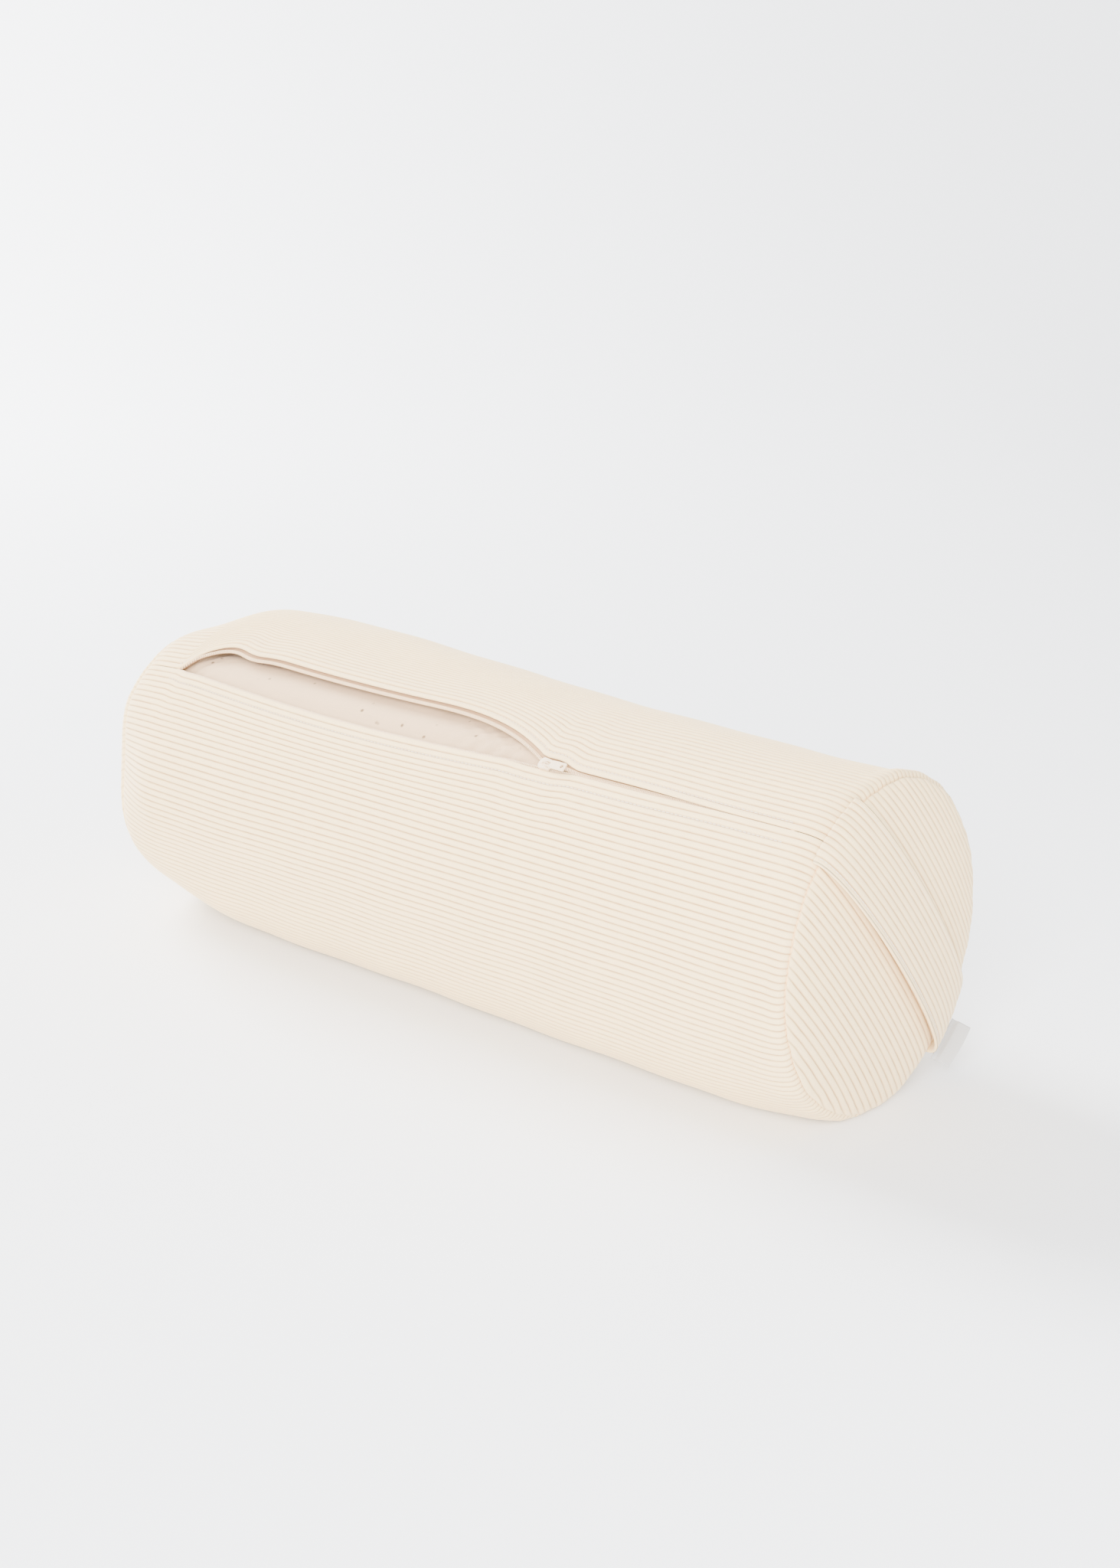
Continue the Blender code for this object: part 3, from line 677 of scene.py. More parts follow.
class BOLSTER_OT_cover_ends(bpy.types.Operator):
    """The two round corduroy end panels, ribbed along the handle strap"""

    bl_idname = "bolster.cover_ends"
    bl_label = "Cover ends"

    def execute(self, context):
        for name, node, side in (
            ("cover_end_cloth_handle_side", "cover_end_handle_side", 1),
            ("cover_end_cloth_plain_side", "cover_end_plain_side", -1),
        ):
            piece = self.panel(name, side)
            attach(piece, "cover")
            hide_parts(node)
            dressed(piece, "wide_wale_corduroy", corduroy)
        return {"FINISHED"}

    def panel(self, name, side):
        """Columns follow the ribs, and rows run from rim to rim."""
        pitch = sizes().rib_pitch
        widest = SEAM_RADIUS * 0.9995
        reach_ribs = math.ceil(widest / pitch)
        ribs = rib_places(2 * reach_ribs) - reach_ribs
        across = np.clip(ribs * pitch, -widest, widest)
        across, kept = np.unique(across, return_index=True)
        ribs = ribs[kept]
        share = np.sin(np.linspace(-math.pi / 2, math.pi / 2, 61))[:, None]
        reach = np.sqrt(SEAM_RADIUS**2 - across**2)
        along = share * reach[None]
        spread = np.broadcast_to(across, along.shape)
        out = np.hypot(along, spread) / SEAM_RADIUS
        edge = rise(out, 0.93, 1.0)
        depth = rib_profile(ribs)[None] * sizes().rib_height * (1 - 0.6 * edge)
        bulge = HANDLE_END_BULGE if side > 0 else PLAIN_END_BULGE
        height = bulge * dome_height(np.clip(out, 0, 1)) - depth
        tuck = 1 - SEAM_TUCK / SEAM_RADIUS * rise(out, 0.985, 1.0)
        flat = along[..., None] * np.array(STRAP_DIRECTION) + spread[..., None] * np.array(STRAP_ACROSS)
        points = flat * tuck[..., None] + [0, 0, AXIS_HEIGHT]
        points[..., 0] = side * (HALF_LENGTH + 0.0004 + height)
        points = softened(points)
        # Painted groove shade between the ribs, weaker towards the rim
        groove = np.broadcast_to(groove_shade_mark(ribs), out.shape) * (1 - 0.4 * edge)
        return cloth_piece(name, points, flat_places(along, spread), groove)


class BOLSTER_OT_end_seams(bpy.types.Operator):
    """The stitches round the seam between the tube and each end panel"""

    bl_idname = "bolster.end_seams"
    bl_label = "End seams"

    def execute(self, context):
        turns = np.linspace(0, 2 * math.pi, 361)
        reach = SEAM_RADIUS - 0.0016
        for side, end in ((1, "handle_side"), (-1, "plain_side")):
            out = np.full_like(turns, side * HALF_LENGTH)
            ring = np.stack([out, reach * np.cos(turns), AXIS_HEIGHT + reach * np.sin(turns)], -1)
            piece = stitch_row("end_seam_stitches_" + end, softened(ring), 0.00032)
            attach(piece, "cover")
            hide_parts("end_seam_" + end)
            dressed(piece, "sewing_thread", thread)
        return {"FINISHED"}


# ---------------------------------------------------------------- the inner pillow


def soft_case(name, points, flat):
    """Lets a stuffed tube of cloth swell and wrinkle between its seams, then keeps the result."""
    piece = cloth_piece(name, points, flat, round_columns=True)
    rows, columns = points.shape[:2]
    held = piece.vertex_groups.new(name="seams")
    rims = list(range(columns)) + list(range((rows - 1) * columns, rows * columns))
    held.add(rims, 1.0, "REPLACE")
    cloth = piece.modifiers.new("swell", "CLOTH")
    cloth.settings.vertex_group_mass = "seams"
    cloth.settings.use_pressure = True
    cloth.settings.uniform_pressure_force = 4
    cloth.settings.shrink_min = -0.02
    cloth.settings.effector_weights.gravity = 0
    cloth.point_cache.frame_start = 1
    cloth.point_cache.frame_end = 20
    scene = bpy.context.scene
    for step in range(1, 21):
        scene.frame_set(step)
    evaluated = piece.evaluated_get(bpy.context.evaluated_depsgraph_get())
    swollen = np.array([vertex.co for vertex in evaluated.data.vertices])
    start = points.reshape(-1, 3)
    moved = swollen - start
    size = np.linalg.norm(moved, axis=1, keepdims=True)
    moved *= np.minimum(1, SWELL_CAP / np.maximum(size, 1e-9))
    piece.modifiers.remove(cloth)
    scene.frame_set(1)
    kept = start + moved
    kept[:, 2] = np.maximum(kept[:, 2], CASE_FLOOR)
    piece.data.vertices.foreach_set("co", kept.astype(np.float32).ravel())
    piece.data.update()
    return piece


class BOLSTER_OT_inner_pillow(bpy.types.Operator):
    """The calico case, which shows through the open zip, and the filling in it"""

    bl_idname = "bolster.inner_pillow"
    bl_label = "Inner pillow"

    def execute(self, context):
        self.tube()
        for side, end in ((1, "handle_side"), (-1, "plain_side")):
            self.end(side, end)
        self.filling()
        return {"FINISHED"}

    def place(self, piece, node):
        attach(piece, "cover")
        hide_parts(node)

    def tube(self):
        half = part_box("inner_case_tube")[1][0]
        along = spread_along(-half, half, 0.0035)[:, None]
        girth = 2 * math.pi * RADIUS
        across = np.linspace(-0.5, 0.5, 241)[None, :-1] * girth
        depth = 0.0066 + shoulder_drop(along) + 0 * across
        bow = back_bow(along)
        middle = (back_edge(along) + front_edge(along)) / 2
        width = np.maximum(back_edge(along) - front_edge(along), 0.004) / 2
        inside = np.clip(1 - ((across - middle) / (width * 1.5)) ** 2, 0, 1)
        swell = 0.0020 * inside**0.8 * rise(bow, 0.0, 0.012)
        depth = depth - swell * (0.4 + 0.6 * rise(across, 0.001, 0.007))
        near = np.exp(-(((along - 0.040) / 0.036) ** 2)) * inside
        wrinkle = np.sin((along * 1.0 + across * 1.7) * 420 + 0.8 * np.sin(along * 190))
        wrinkle += 0.6 * np.sin((along * 1.3 - across * 1.1) * 330 + 1.0)
        depth = depth + 0.0022 * rise(across, 0.010, 0.024) * rise(bow, 0.004, 0.014)
        depth = depth + hollow(along, across)
        depth = depth - 0.0013 * near * wrinkle
        left = np.exp(-(((along + 0.238) / 0.014) ** 2)) * inside
        depth = depth - 0.0006 * left * np.sin((along - across * 0.8) * 500)
        points = softened(on_roll(along, across, depth), CASE_FLOOR)
        piece = soft_case("inner_case_tube_cloth", points, flat_places(along, across))
        self.place(piece, "inner_case_tube")
        dressed(piece, "plain_calico", calico)

    def end(self, side, end):
        low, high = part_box("inner_case_end_" + end)
        reach = (high[1] - low[1]) / 2 - 0.0004
        rim = min(abs(low[0]), abs(high[0]))
        bulge = (HANDLE_END_BULGE if side > 0 else PLAIN_END_BULGE) - 0.0035
        shares = np.sin(np.linspace(0.02, math.pi / 2, 24))[:, None]
        turns = np.linspace(0, 2 * math.pi, 97)[None, :-1]
        out = side * (rim + bulge * np.sqrt(np.clip(1 - shares**2, 0, 1))) + 0 * turns
        pucker = 1 - 0.003 * (0.5 + 0.5 * np.sin(40 * turns)) * shares**6
        y, z = reach * shares * pucker * np.cos(turns), reach * shares * pucker * np.sin(turns)
        points = softened(np.stack([out, y, AXIS_HEIGHT + z], -1), CASE_FLOOR)
        name = "inner_case_end_cloth_" + end
        piece = cloth_piece(name, points, flat_places(y, z), round_columns=True)
        self.place(piece, "inner_case_end_" + end)
        dressed(piece, "plain_calico", calico)

    def filling(self):
        low, high = (np.array(corner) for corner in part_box("filling"))
        reach, half = (high[1] - low[1]) / 2 - 0.0030, HALF_LENGTH + HANDLE_END_BULGE - 0.0070
        polar = np.linspace(0.02, math.pi - 0.02, 90)[:, None]
        turns = np.linspace(0, 2 * math.pi, 97)[None, :-1]
        along = half * np.sign(np.cos(polar)) * np.abs(np.cos(polar)) ** 0.35 + 0 * turns
        round_off = np.sin(polar) ** 0.35
        tufts = 1 - 0.006 * (1 + np.sin(9 * turns + 60 * along)) * (1 + np.sin(14 * turns - 45 * along)) / 4
        around = (math.pi - turns - ZIP_ANGLE + math.pi) % (2 * math.pi) - math.pi
        size = reach * round_off * tufts - 1.2 * hollow(along, around * RADIUS)
        y, z = size * np.cos(turns), size * np.sin(turns)
        points = softened(np.stack([along, y, AXIS_HEIGHT + z], -1), CASE_FLOOR + 0.0022)
        piece = cloth_piece("loose_filling", points, flat_places(along, y), round_columns=True)
        self.place(piece, "filling")
        dressed(piece, "combed_fibre", fibre)


# ---------------------------------------------------------------- the zip


def coil_line(along, side):
    """Where a coil's middle runs: meshed with the other one when closed, on its lip when open."""
    parted = 0.00075 + 0.0014 * open_share(along)
    lip = back_bow(along) if side > 0 else front_sag(along)
    return side * (lip + parted)


class BOLSTER_OT_zip_chain(bpy.types.Operator):
    """Both halves of the zip: the coil of teeth, its tape and the end stops"""

    bl_idname = "bolster.zip_chain"
    bl_label = "Zip chain"

    def execute(self, context):
        for name, side in (("front", -1), ("back", 1)):
            self.coil(name, side)
            self.tape(name, side)
        self.stops()
        return {"FINISHED"}

    def coil(self, name, side):
        """A coil bent from one filament, flat against the tape."""
        pitch, steps, sides = sizes().tooth_pitch, 10, 5
        start, end = ZIP_LEFT + 0.0034, ZIP_RIGHT - 0.0034
        count = int((end - start) / pitch * steps)
        run = np.linspace(start, end, count)
        turn = 2 * math.pi * (run - start) / pitch + (0 if side > 0 else math.pi)
        across = coil_line(run, side) + side * 0.00105 * -np.cos(turn)
        depth = COIL_DEPTH + 0.0010 * rise(run, 0.105, 0.125) - 0.00072 * np.sin(turn)
        depth = depth - 0.0012 * rise(back_bow(run), 0.002, 0.010)
        lean = 0.28 * pitch * np.sin(2 * turn)
        path = softened(on_roll(run + lean, across, depth))
        ahead, wide, up = frames_along(path)
        ring = np.linspace(0, 2 * math.pi, sides, endpoint=False)
        radius = 0.00040
        tube = path[:, None] + radius * (
            np.cos(ring)[None, :, None] * wide[:, None] + np.sin(ring)[None, :, None] * up[:, None]
        )
        faces = grid_faces(count, sides, round_columns=True) + end_caps(count, sides)
        piece = new_piece("zip_coil_filament_" + name, mesh_of("zip_coil_" + name, tube, faces))
        self.mount(piece, side, "zip_coil_" + name)
        dressed(piece, "nylon_filament", nylon)

    def tape(self, name, side):
        along = spread_along(ZIP_LEFT - 0.003, ZIP_RIGHT, 0.003)
        line = along[:, None]
        section = [(0.0002, 0.0006), (0.0012, 0.0002), (0.0040, 0.0), (0.0128, 0.0)]
        section += [(0.0128, 0.0006), (0.0040, 0.0006), (0.0012, 0.0010), (0.0002, 0.0014)]
        into, depth = np.array(section).T
        across = coil_line(line, side) + side * (0.0007 + into[None])
        raised = 0.0012 * rise(back_bow(line), 0.002, 0.010) - 0.0010 * rise(line, 0.105, 0.125)
        raised = raised * (1 - rise(into[None], 0.003, 0.006))
        points = softened(on_roll(line, across, 0.0029 + depth[None] - raised))
        rows, columns = points.shape[:2]
        faces = grid_faces(rows, columns, round_columns=True) + end_caps(rows, columns)
        piece = new_piece("zip_tape_woven_" + name, mesh_of("zip_tape_" + name, points, faces))
        self.mount(piece, side, "zip_tape_" + name)
        # The tape colour is its own tan with painted shade from under the back lip
        dressed(piece, "zip_tape_weave_painted_shade", lambda n: woven(n, colours().tape, 0.0006))

    def stops(self):
        for node in ("zip_bottom_stop", "zip_top_stop_front", "zip_top_stop_back"):
            stop = frame["nodes"][node]
            stop.data.materials.clear()
            stop.data.materials.append(finish_once("nylon_filament", nylon))

    def mount(self, piece, side, node):
        bend_with_lip(piece)
        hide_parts(node)


class BOLSTER_OT_topstitching(bpy.types.Operator):
    """The row of stitches along each lip of the zip"""

    bl_idname = "bolster.topstitching"
    bl_label = "Topstitching"

    def execute(self, context):
        pitch = sizes().rib_pitch
        along = spread_along(ZIP_LEFT + 0.003, ZIP_RIGHT - 0.003, 0.002)
        for name, side, ribs in (("front", -1, 2), ("back", 1, 1)):
            inset = ribs * pitch
            if side > 0:
                across = back_edge(along) * (1 - rise(inset, 0.002, BACK_FADE)) + inset
            else:
                across = front_edge(along) * (1 - rise(inset, 0.002, FRONT_FADE)) - inset
            path = softened(on_roll(along, across, 0.0004 + 0 * along))
            piece = stitch_row("zip_topstitches_" + name, path, 0.00034)
            bend_with_lip(piece)
            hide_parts("zip_topstitch_" + name)
            dressed(piece, "sewing_thread", thread)
        return {"FINISHED"}


def zip_frame(along):
    """The place and turn of the chain's middle: X along it, Y round the roll, Z outward."""
    turn = Matrix.Rotation(math.pi / 2 - ZIP_ANGLE, 4, "X")
    return Matrix.Translation(on_roll(along, 0, 0).tolist()) @ turn


def rounded_plate(name, outline, thickness, edge, holes=()):
    """A flat plate with rounded edges, its middle at local Z 0."""
    curve = bpy.data.curves.new(name, "CURVE")
    curve.dimensions = "2D"
    curve.fill_mode = "BOTH"
    curve.extrude = thickness / 2 - edge
    curve.bevel_depth = edge
    curve.bevel_resolution = 3
    curve.offset = -edge
    for loop in (outline, *holes):
        spline = curve.splines.new("POLY")
        spline.points.add(len(loop) - 1)
        for point, (x, y) in zip(spline.points, loop):
            point.co = (x, y, 0, 1)
        spline.use_cyclic_u = True
    return as_mesh(new_piece(name, curve))


def bent_wire(name, points, radius):
    """A round wire through its points."""
    curve = bpy.data.curves.new(name, "CURVE")
    curve.dimensions = "3D"
    curve.bevel_depth = radius
    curve.bevel_resolution = 4
    curve.use_fill_caps = True
    spline = curve.splines.new("POLY")
    spline.points.add(len(points) - 1)
    for point, place in zip(spline.points, points):
        point.co = (*place, 1)
    return as_mesh(new_piece(name, curve))


def as_mesh(piece):
    """The piece with its curve and modifiers turned into a mesh."""
    bpy.context.view_layer.update()
    evaluated = piece.evaluated_get(bpy.context.evaluated_depsgraph_get())
    mesh = bpy.data.meshes.new_from_object(evaluated)
    place, name = piece.matrix_world.copy(), piece.name
    bpy.data.objects.remove(piece)
    made = new_piece(name, mesh)
    made.matrix_world = place
    made.data.shade_smooth()
    made.data.set_sharp_from_angle(angle=math.radians(50))
    return made


def joined(name, pieces):
    """One object from several, keeping them as separate shells."""
    points, faces = [], []
    for piece in pieces:
        start = len(points)
        points += [piece.matrix_world @ vertex.co for vertex in piece.data.vertices]
        faces += [[start + corner for corner in face.vertices] for face in piece.data.polygons]
        bpy.data.objects.remove(piece)
    mesh = mesh_of(name, np.array([tuple(point) for point in points]), faces)
    mesh.set_sharp_from_angle(angle=math.radians(50))
    return new_piece(name, mesh)


def smooth_loop(corners, radius, steps=6):
    """An outline whose corners are rounded."""
    loop = []
    count = len(corners)
    for i, corner in enumerate(corners):
        here = Vector(corner)
        before = Vector(corners[i - 1]) - here
        after = Vector(corners[(i + 1) % count]) - here
        cut = min(radius, before.length / 2.1, after.length / 2.1)
        start, end = here + before.normalized() * cut, here + after.normalized() * cut
        for step in range(steps + 1):
            t = step / steps
            loop.append(tuple((1 - t) ** 2 * start + 2 * t * (1 - t) * here + t * t * end))
    return loop


def bar_outline(start, end, half_width, radius):
    """A rounded bar along X."""
    corners = [(start, -half_width), (end, -half_width), (end, half_width), (start, half_width)]
    return smooth_loop(corners, radius)


def circle(x, y, radius, steps=24):
    turns = [2 * math.pi * i / steps for i in range(steps)]
    return [(x + radius * math.cos(t), y + radius * math.sin(t)) for t in turns]


class BOLSTER_OT_slider(bpy.types.Operator):
    """The enamelled slider with its bail, and the pull tab that turns in it"""

    bl_idname = "bolster.slider"
    bl_label = "Slider and pull tab"

    def execute(self, context):
        slider = self.slider()
        slider.matrix_world = zip_frame(SLIDER_REST)
        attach(slider, "slider")
        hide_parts("zip_slider")
        dressed(slider, "cream_enamel", enamel)
        tab = self.tab()
        height = Vector(JOINTS["pull_tab_flip"]["pos_m"]) - Vector(on_roll(SLIDER_REST, 0, 0).tolist())
        tab.matrix_world = zip_frame(SLIDER_REST) @ Matrix.Translation((0, 0, height.length))
        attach(tab, "pull_tab")
        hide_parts("zip_pull_tab")
        dressed(tab, "cream_enamel", enamel)
        return {"FINISHED"}

    def slider(self):
        half = (SLIDER_HIGH[0] - SLIDER_LOW[0]) / 2
        side = [(-half, 0.0021), (-half * 0.70, 0.0043), (half * 0.2, 0.0038), (half, 0.0032)]
        outline = smooth_loop(side + [(x, -y) for x, y in reversed(side)], 0.0016)
        top = rounded_plate("top_plate", outline, 0.0010, 0.00035)
        top.location.z = 0.00092
        base = rounded_plate("base_plate", outline, 0.0009, 0.0003)
        base.location.z = -0.0045
        ridge = rounded_plate("ridge", bar_outline(-0.0040, 0.0038, 0.0010, 0.0009), 0.0007, 0.0003)
        ridge.location.z = 0.0015
        post = rounded_plate("post", bar_outline(-half * 0.9, -half * 0.4, 0.0005, 0.0004), 0.0050, 0.0002)
        post.location.z = -0.0018
        pieces = [top, base, ridge, post]
        for sign in (-1, 1):
            wall = [(-0.0033, 0.0034), (0.0040, 0.0032), (0.0040, 0.0038), (-0.0033, 0.0040)]
            flange = rounded_plate("flange", [(x, sign * y) for x, y in wall[::sign]], 0.0028, 0.0002)
            flange.location.z = -0.0006
            pieces.append(flange)
        turns = [math.pi * i / 16 for i in range(17)]
        arch = [(-0.0027 * math.cos(t), 0, 0.0011 + 0.0021 * math.sin(t) ** 0.6) for t in turns]
        pieces.append(bent_wire("bail", arch, 0.00045))
        return joined("zip_slider_body", pieces)

    def tab(self):
        low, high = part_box("zip_pull_tab")
        length = high[0] - low[0] - 0.0005
        side = [(-0.0004, 0.0022), (0.0030, 0.0022), (0.0052, 0.0030), (length, 0.0030)]
        outline = smooth_loop(side + [(x, -y) for x, y in reversed(side)], 0.0014)
        eye = bar_outline(0.0006, 0.0042, 0.0010, 0.0004)
        hole = circle(length - 0.0028, 0, 0.00115)
        plate = rounded_plate("plate", outline, 0.0010, 0.00035, holes=(eye[::-1], hole[::-1]))
        rim_out = circle(length - 0.0028, 0, 0.0019)
        rim = rounded_plate("rim", rim_out, 0.0014, 0.0003, holes=(hole[::-1],))
        bar = bent_wire("pin", [(0, -0.0016, 0), (0, 0.0016, 0)], 0.0005)
        return joined("zip_pull_tab_body", [plate, rim, bar])


# ---------------------------------------------------------------- the handle strap and the label


STRAP_LOW_EDGE = -0.0150
STRAP_HIGH_EDGE = 0.0350
STRAP_STITCH_INSET = 0.0036


def strap_place(turn, across, lift):
    """A point on the strap: its turn over the end from 0, its lower end, to pi, across it, and out."""
    share = (across - STRAP_LOW_EDGE) / (STRAP_HIGH_EDGE - STRAP_LOW_EDGE)
    stand_off = 0.0075 - 0.0064 * share
    reach = np.sqrt(np.clip((SEAM_RADIUS + 0.0010) ** 2 - across**2, 0, None))
    height = (HANDLE_END_BULGE + stand_off) * (1 - 0.22 * (across / SEAM_RADIUS) ** 2)
    along = (reach + lift) * np.cos(turn)
    out = (height + lift) * np.sin(turn) ** 0.95
    points = along[..., None] * np.array(STRAP_DIRECTION) + across[..., None] * np.array(STRAP_ACROSS)
    points = points + [0, 0, AXIS_HEIGHT]
    points[..., 0] = HALF_LENGTH + 0.0004 + out
    return softened(points)


class BOLSTER_OT_strap(bpy.types.Operator):
    """The ribbed handle strap, sewn down at both ends, and its edge stitching"""

    bl_idname = "bolster.strap"
    bl_label = "Handle strap"

    def execute(self, context):
        turn = np.linspace(0, math.pi, 87)[:, None]
        strap = self.ribbon("handle_strap_ribbed", turn)
        self.lift_in_the_middle(strap)
        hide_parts("handle_strap")
        middle = strap_place(turn[:, 0], 0.010 + 0 * turn[:, 0], 0)
        dressed(strap, "wide_wale_corduroy", corduroy)
        inset = STRAP_STITCH_INSET
        for edge, across in (("front", STRAP_LOW_EDGE + inset), ("back", STRAP_HIGH_EDGE - inset)):
            line = np.linspace(0.10, math.pi - 0.10, 120)
            path = strap_place(line, np.full_like(line, across), 0.0028)
            row = stitch_row("strap_stitches_" + edge, path, 0.00034)
            self.lift_in_the_middle(row)
            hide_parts("strap_edge_stitch_" + edge)
            dressed(row, "sewing_thread", thread)
        return {"FINISHED"}

    def lift_in_the_middle(self, piece):
        """Bakes the piece's transform into its mesh."""
        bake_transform(piece)

    def ribbon(self, name, turn):
        """A closed ribbon: ribs on its face, rounded folded edges, plain behind."""
        width = STRAP_HIGH_EDGE - STRAP_LOW_EDGE
        ribs = round(width / sizes().rib_pitch)
        face = rib_places(ribs)[1:-1]
        thick = 0.0032
        edge = np.radians(np.linspace(-75, 75, 6))
        bend = thick / 2
        section = []
        for s in face:
            at = s / ribs * width
            dent = 0.0007 * math.exp(-(((at - STRAP_STITCH_INSET) / 0.0008) ** 2))
            # Each point: across, lift, painted groove shade and its place in ribs
            section.append((at, thick - rib_profile(s) * sizes().rib_height - dent, groove_shade_mark(s), s))
        section += [(width - bend * (1 - math.cos(t)), bend - bend * math.sin(t), 0, ribs) for t in edge]
        section += [(width * s, 0.0, 0, ribs * s) for s in np.linspace(0.95, 0.05, 14)]
        section += [(bend * (1 - math.cos(t)), bend + bend * math.sin(t), 0, 0) for t in edge]
        into, lift, groove, flat = np.array(section).T
        across = np.broadcast_to(STRAP_LOW_EDGE + into, (len(turn), len(into)))
        turn, lift = np.broadcast_to(turn, across.shape), np.broadcast_to(lift, across.shape)
        points = strap_place(turn, across, lift)
        run = np.concatenate([[0], np.cumsum(np.linalg.norm(np.diff(points[:, 0], axis=0), axis=1))])
        places = flat_places(run[:, None], flat[None] * sizes().rib_pitch)
        return cloth_piece(name, points, places, groove[None], capped=True, round_columns=True)


class BOLSTER_OT_label(bpy.types.Operator):
    """The small blank woven label at the strap's lower end"""

    bl_idname = "bolster.label"
    bl_label = "Woven label"

    def execute(self, context):
        pivot = np.array(JOINTS["label_fold"]["pos_m"])
        away, across = np.array(STRAP_DIRECTION), np.array(STRAP_ACROSS)
        reach, width, thick = 0.0125, 0.0300, 0.0003
        turn = np.linspace(0, 1, 15)
        bend = np.radians(np.linspace(75, -75, 6))
        loop = [(s, thick) for s in turn]
        loop += [(1 + thick / reach * math.cos(t), thick * math.sin(t)) for t in bend]
        loop += [(s, -thick) for s in turn[::-1]]
        share, up = np.array(loop).T
        places = np.linspace(-width / 2, width / 2, 33)[:, None]
        lean = math.radians(62) * np.clip(share * 3, 0, 1)
        run = reach * share
        out = run * np.cos(lean) - 0.0020 - up * np.sin(lean)
        rise_out = run * np.sin(lean) + up * np.cos(lean)
        curl = 0.0005 * np.sin(places / width * 5 + 1) * share[None]
        points = (
            pivot
            + out[None, :, None] * away
            + places[..., None] * across
            + (rise_out[None] + curl)[..., None] * np.array([1, 0, 0])
        )
        flat = flat_places(places, run[None])
        piece = cloth_piece("woven_label_ribbon", points, flat, capped=True, round_columns=True)
        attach(piece, "label")
        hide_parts("woven_label")
        dressed(piece, "label_satin", lambda n: woven(n, colours().label, 0.0005, 0.6, 0.2))
        return {"FINISHED"}


# ---------------------------------------------------------------- the stage


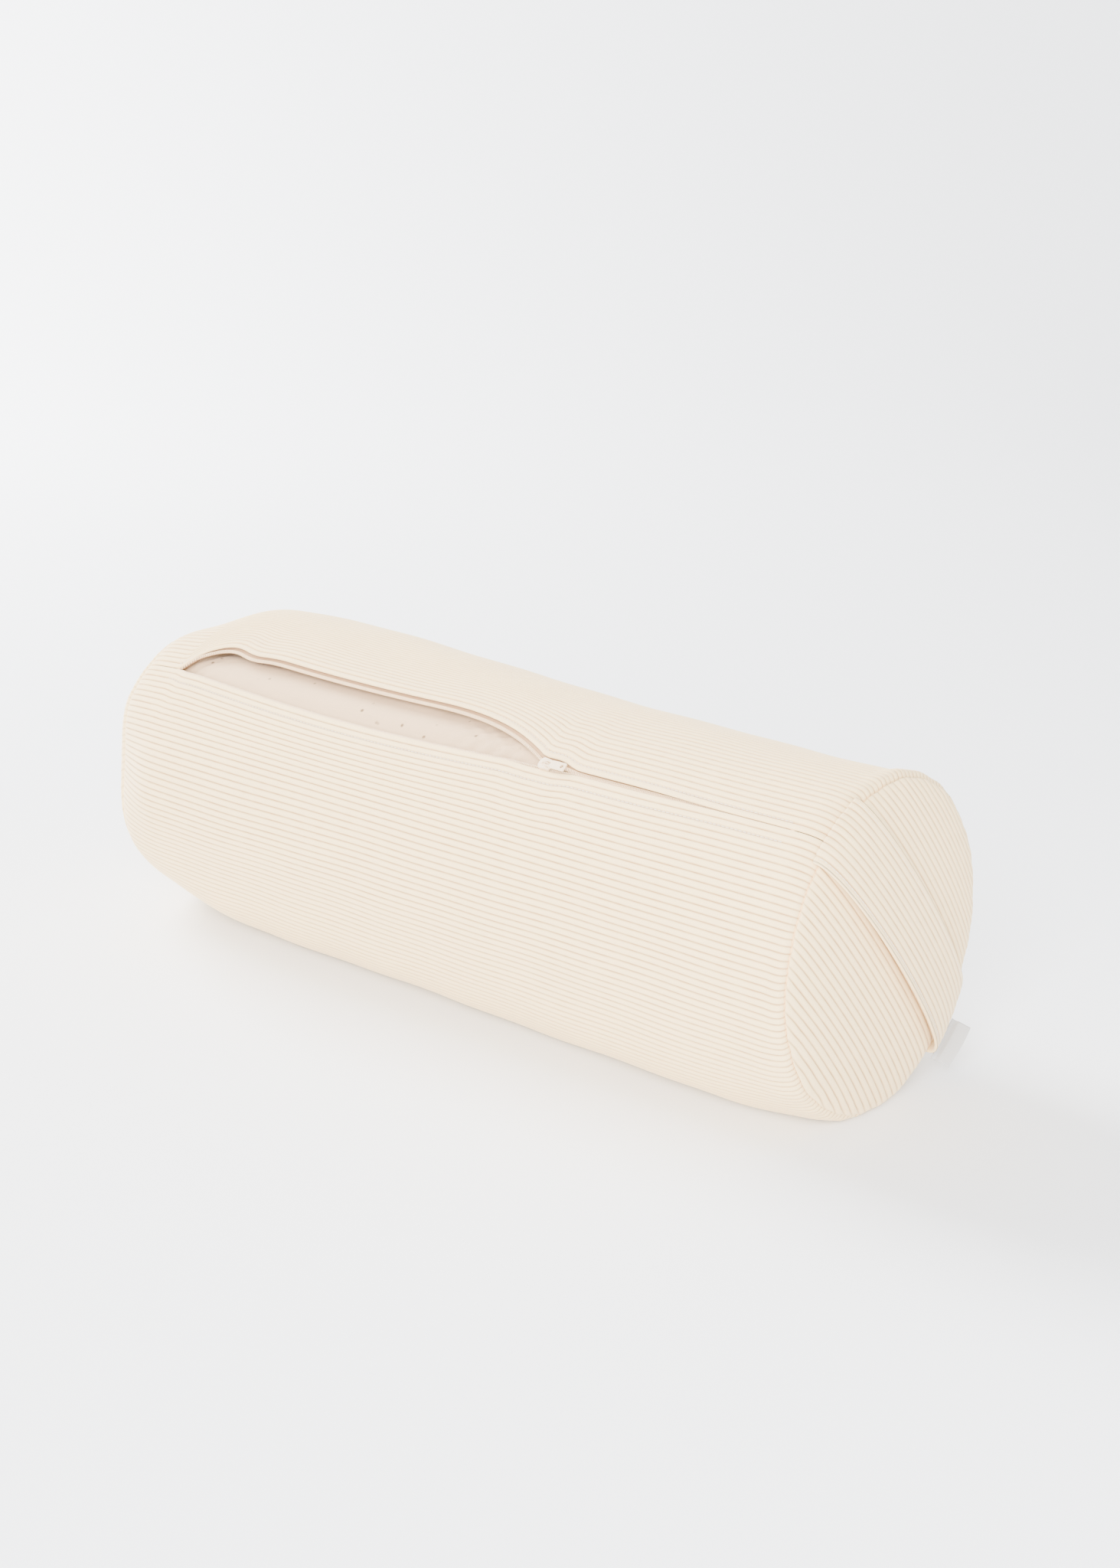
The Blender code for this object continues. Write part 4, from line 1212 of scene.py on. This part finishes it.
class BOLSTER_OT_stage(bpy.types.Operator):
    """The pale floor and backdrop, the soft light and the camera"""

    bl_idname = "bolster.stage"
    bl_label = "Stage"

    def execute(self, context):
        self.sweep()
        self.lights()
        self.camera()
        return {"FINISHED"}

    def sweep(self):
        """A floor that curves up into a backdrop behind the roll."""
        turns = np.linspace(0, math.pi / 2, 24)
        curve = [(2.6 + 1.2 * math.sin(t), 1.2 * (1 - math.cos(t))) for t in turns]
        profile = [(-30.0, 0.0), *curve, (3.8, 6.0)]
        depth, height = np.array(profile).T
        spread = np.array([-25.0, 25.0])[:, None]
        ahead = Vector((-math.sin(CAMERA_AZIMUTH), math.cos(CAMERA_AZIMUTH), 0))
        side = Vector((ahead.y, -ahead.x, 0))
        points = (
            depth[None, :, None] * np.array(ahead)
            + spread[..., None] * np.array(side)
            + height[None, :, None] * np.array([0, 0, 1])
        )
        floor = new_piece("floor", mesh_of("floor", points, grid_faces(2, len(profile))))
        finish = Finish("studio_paper", roughness=0.95)
        finish.shader.inputs["Specular IOR Level"].default_value = 0.1
        place = finish.object_place()
        shade = finish.noise(place, 1.5, 1)
        finish.bump(finish.noise(place, 500, 2), 0.0001, 0.15)
        paper = finish.mixed(shade, tinted(colours().studio, 0.99), tinted(colours().studio, 1.01))
        floor.data.materials.append(finish.done(paper))
        near, far, tall = side * 1.05 + ahead * 0.2, side * 1.5 + ahead * 2.8, Vector((0, 0, 2.4))
        corners = [tuple(place) for place in (near, far, far + tall, near + tall)]
        flag = new_piece("flag", mesh_of("flag", np.array(corners), [(0, 1, 2, 3)]))
        black = Finish("black_felt", roughness=1.0)
        weave = black.noise(black.object_place(), 300, 2)
        flag.data.materials.append(black.done(black.mixed(weave, (0.02, 0.02, 0.02), (0.04, 0.04, 0.04))))

    def lights(self):
        world = bpy.data.worlds.new("studio")
        world.use_nodes = True
        sky = world.node_tree.nodes["Background"]
        sky.inputs["Color"].default_value = (0.97, 0.985, 1.0, 1)
        nodes, links = world.node_tree.nodes, world.node_tree.links
        place, parts = nodes.new("ShaderNodeTexCoord"), nodes.new("ShaderNodeSeparateXYZ")
        height = nodes.new("ShaderNodeMapRange")
        for socket, value in (("From Min", 0.1), ("From Max", 0.9), ("To Min", 3.1), ("To Max", 1.4)):
            height.inputs[socket].default_value = value
        links.new(place.outputs["Generated"], parts.inputs[0])
        links.new(parts.outputs["Z"], height.inputs["Value"])
        links.new(height.outputs[0], sky.inputs["Strength"])
        bpy.context.scene.world = world
        for name, place, size, power in (
            ("window_light", (1.9, -3.0, 1.6), 2.4, 520),
            ("backdrop_light", (-3.4, 0.2, 2.4), 2.0, 650),
        ):
            lamp = bpy.data.lights.new(name, "AREA")
            lamp.size = size
            lamp.energy = power
            thing = bpy.data.objects.new(name, lamp)
            bpy.context.scene.collection.objects.link(thing)
            thing.location = place
            aim = Vector((0, 0, 0.1)) - Vector(place)
            thing.rotation_euler = aim.to_track_quat("-Z", "Y").to_euler()

    def camera(self):
        back = Vector(
            (
                math.sin(CAMERA_AZIMUTH) * math.cos(CAMERA_ELEVATION),
                -math.cos(CAMERA_AZIMUTH) * math.cos(CAMERA_ELEVATION),
                math.sin(CAMERA_ELEVATION),
            )
        )
        data = bpy.data.cameras.new("camera")
        data.lens = CAMERA_LENS
        data.sensor_width = 36
        data.clip_start = 0.05
        camera = bpy.data.objects.new("camera", data)
        bpy.context.scene.collection.objects.link(camera)
        camera.location = CAMERA_TARGET + back * CAMERA_DISTANCE
        camera.rotation_euler = (-back).to_track_quat("-Z", "Y").to_euler()
        bpy.context.scene.camera = camera


# ---------------------------------------------------------------- the add-on


STEPS = (
    BOLSTER_OT_stage,
    BOLSTER_OT_cover_tube,
    BOLSTER_OT_cover_ends,
    BOLSTER_OT_end_seams,
    BOLSTER_OT_inner_pillow,
    BOLSTER_OT_zip_chain,
    BOLSTER_OT_topstitching,
    BOLSTER_OT_slider,
    BOLSTER_OT_strap,
    BOLSTER_OT_label,
)


class BOLSTER_PT_panel(bpy.types.Panel):
    """Lists the steps that build the bolster, with its sizes and colours"""

    bl_idname = "BOLSTER_PT_panel"
    bl_label = "Corduroy Bolster"
    bl_space_type = "VIEW_3D"
    bl_region_type = "UI"
    bl_category = "Bolster"

    def draw(self, context):
        column = self.layout.column()
        for step in STEPS:
            column.operator(step.bl_idname)
        for group in (context.scene.bolster_sizes, context.scene.bolster_colours):
            for name in group.__annotations__:
                column.prop(group, name)


CLASSES = (BolsterSizes, BolsterColours, *STEPS, BOLSTER_PT_panel)


def register():
    for item in CLASSES:
        bpy.utils.register_class(item)
    bpy.types.Scene.bolster_sizes = PointerProperty(type=BolsterSizes)
    bpy.types.Scene.bolster_colours = PointerProperty(type=BolsterColours)


def unregister():
    del bpy.types.Scene.bolster_colours
    del bpy.types.Scene.bolster_sizes
    for item in reversed(CLASSES):
        bpy.utils.unregister_class(item)


def main():
    register()
    for step in STEPS:
        area, name = step.bl_idname.split(".")
        getattr(getattr(bpy.ops, area), name)()


if __name__ == "__main__":
    main()
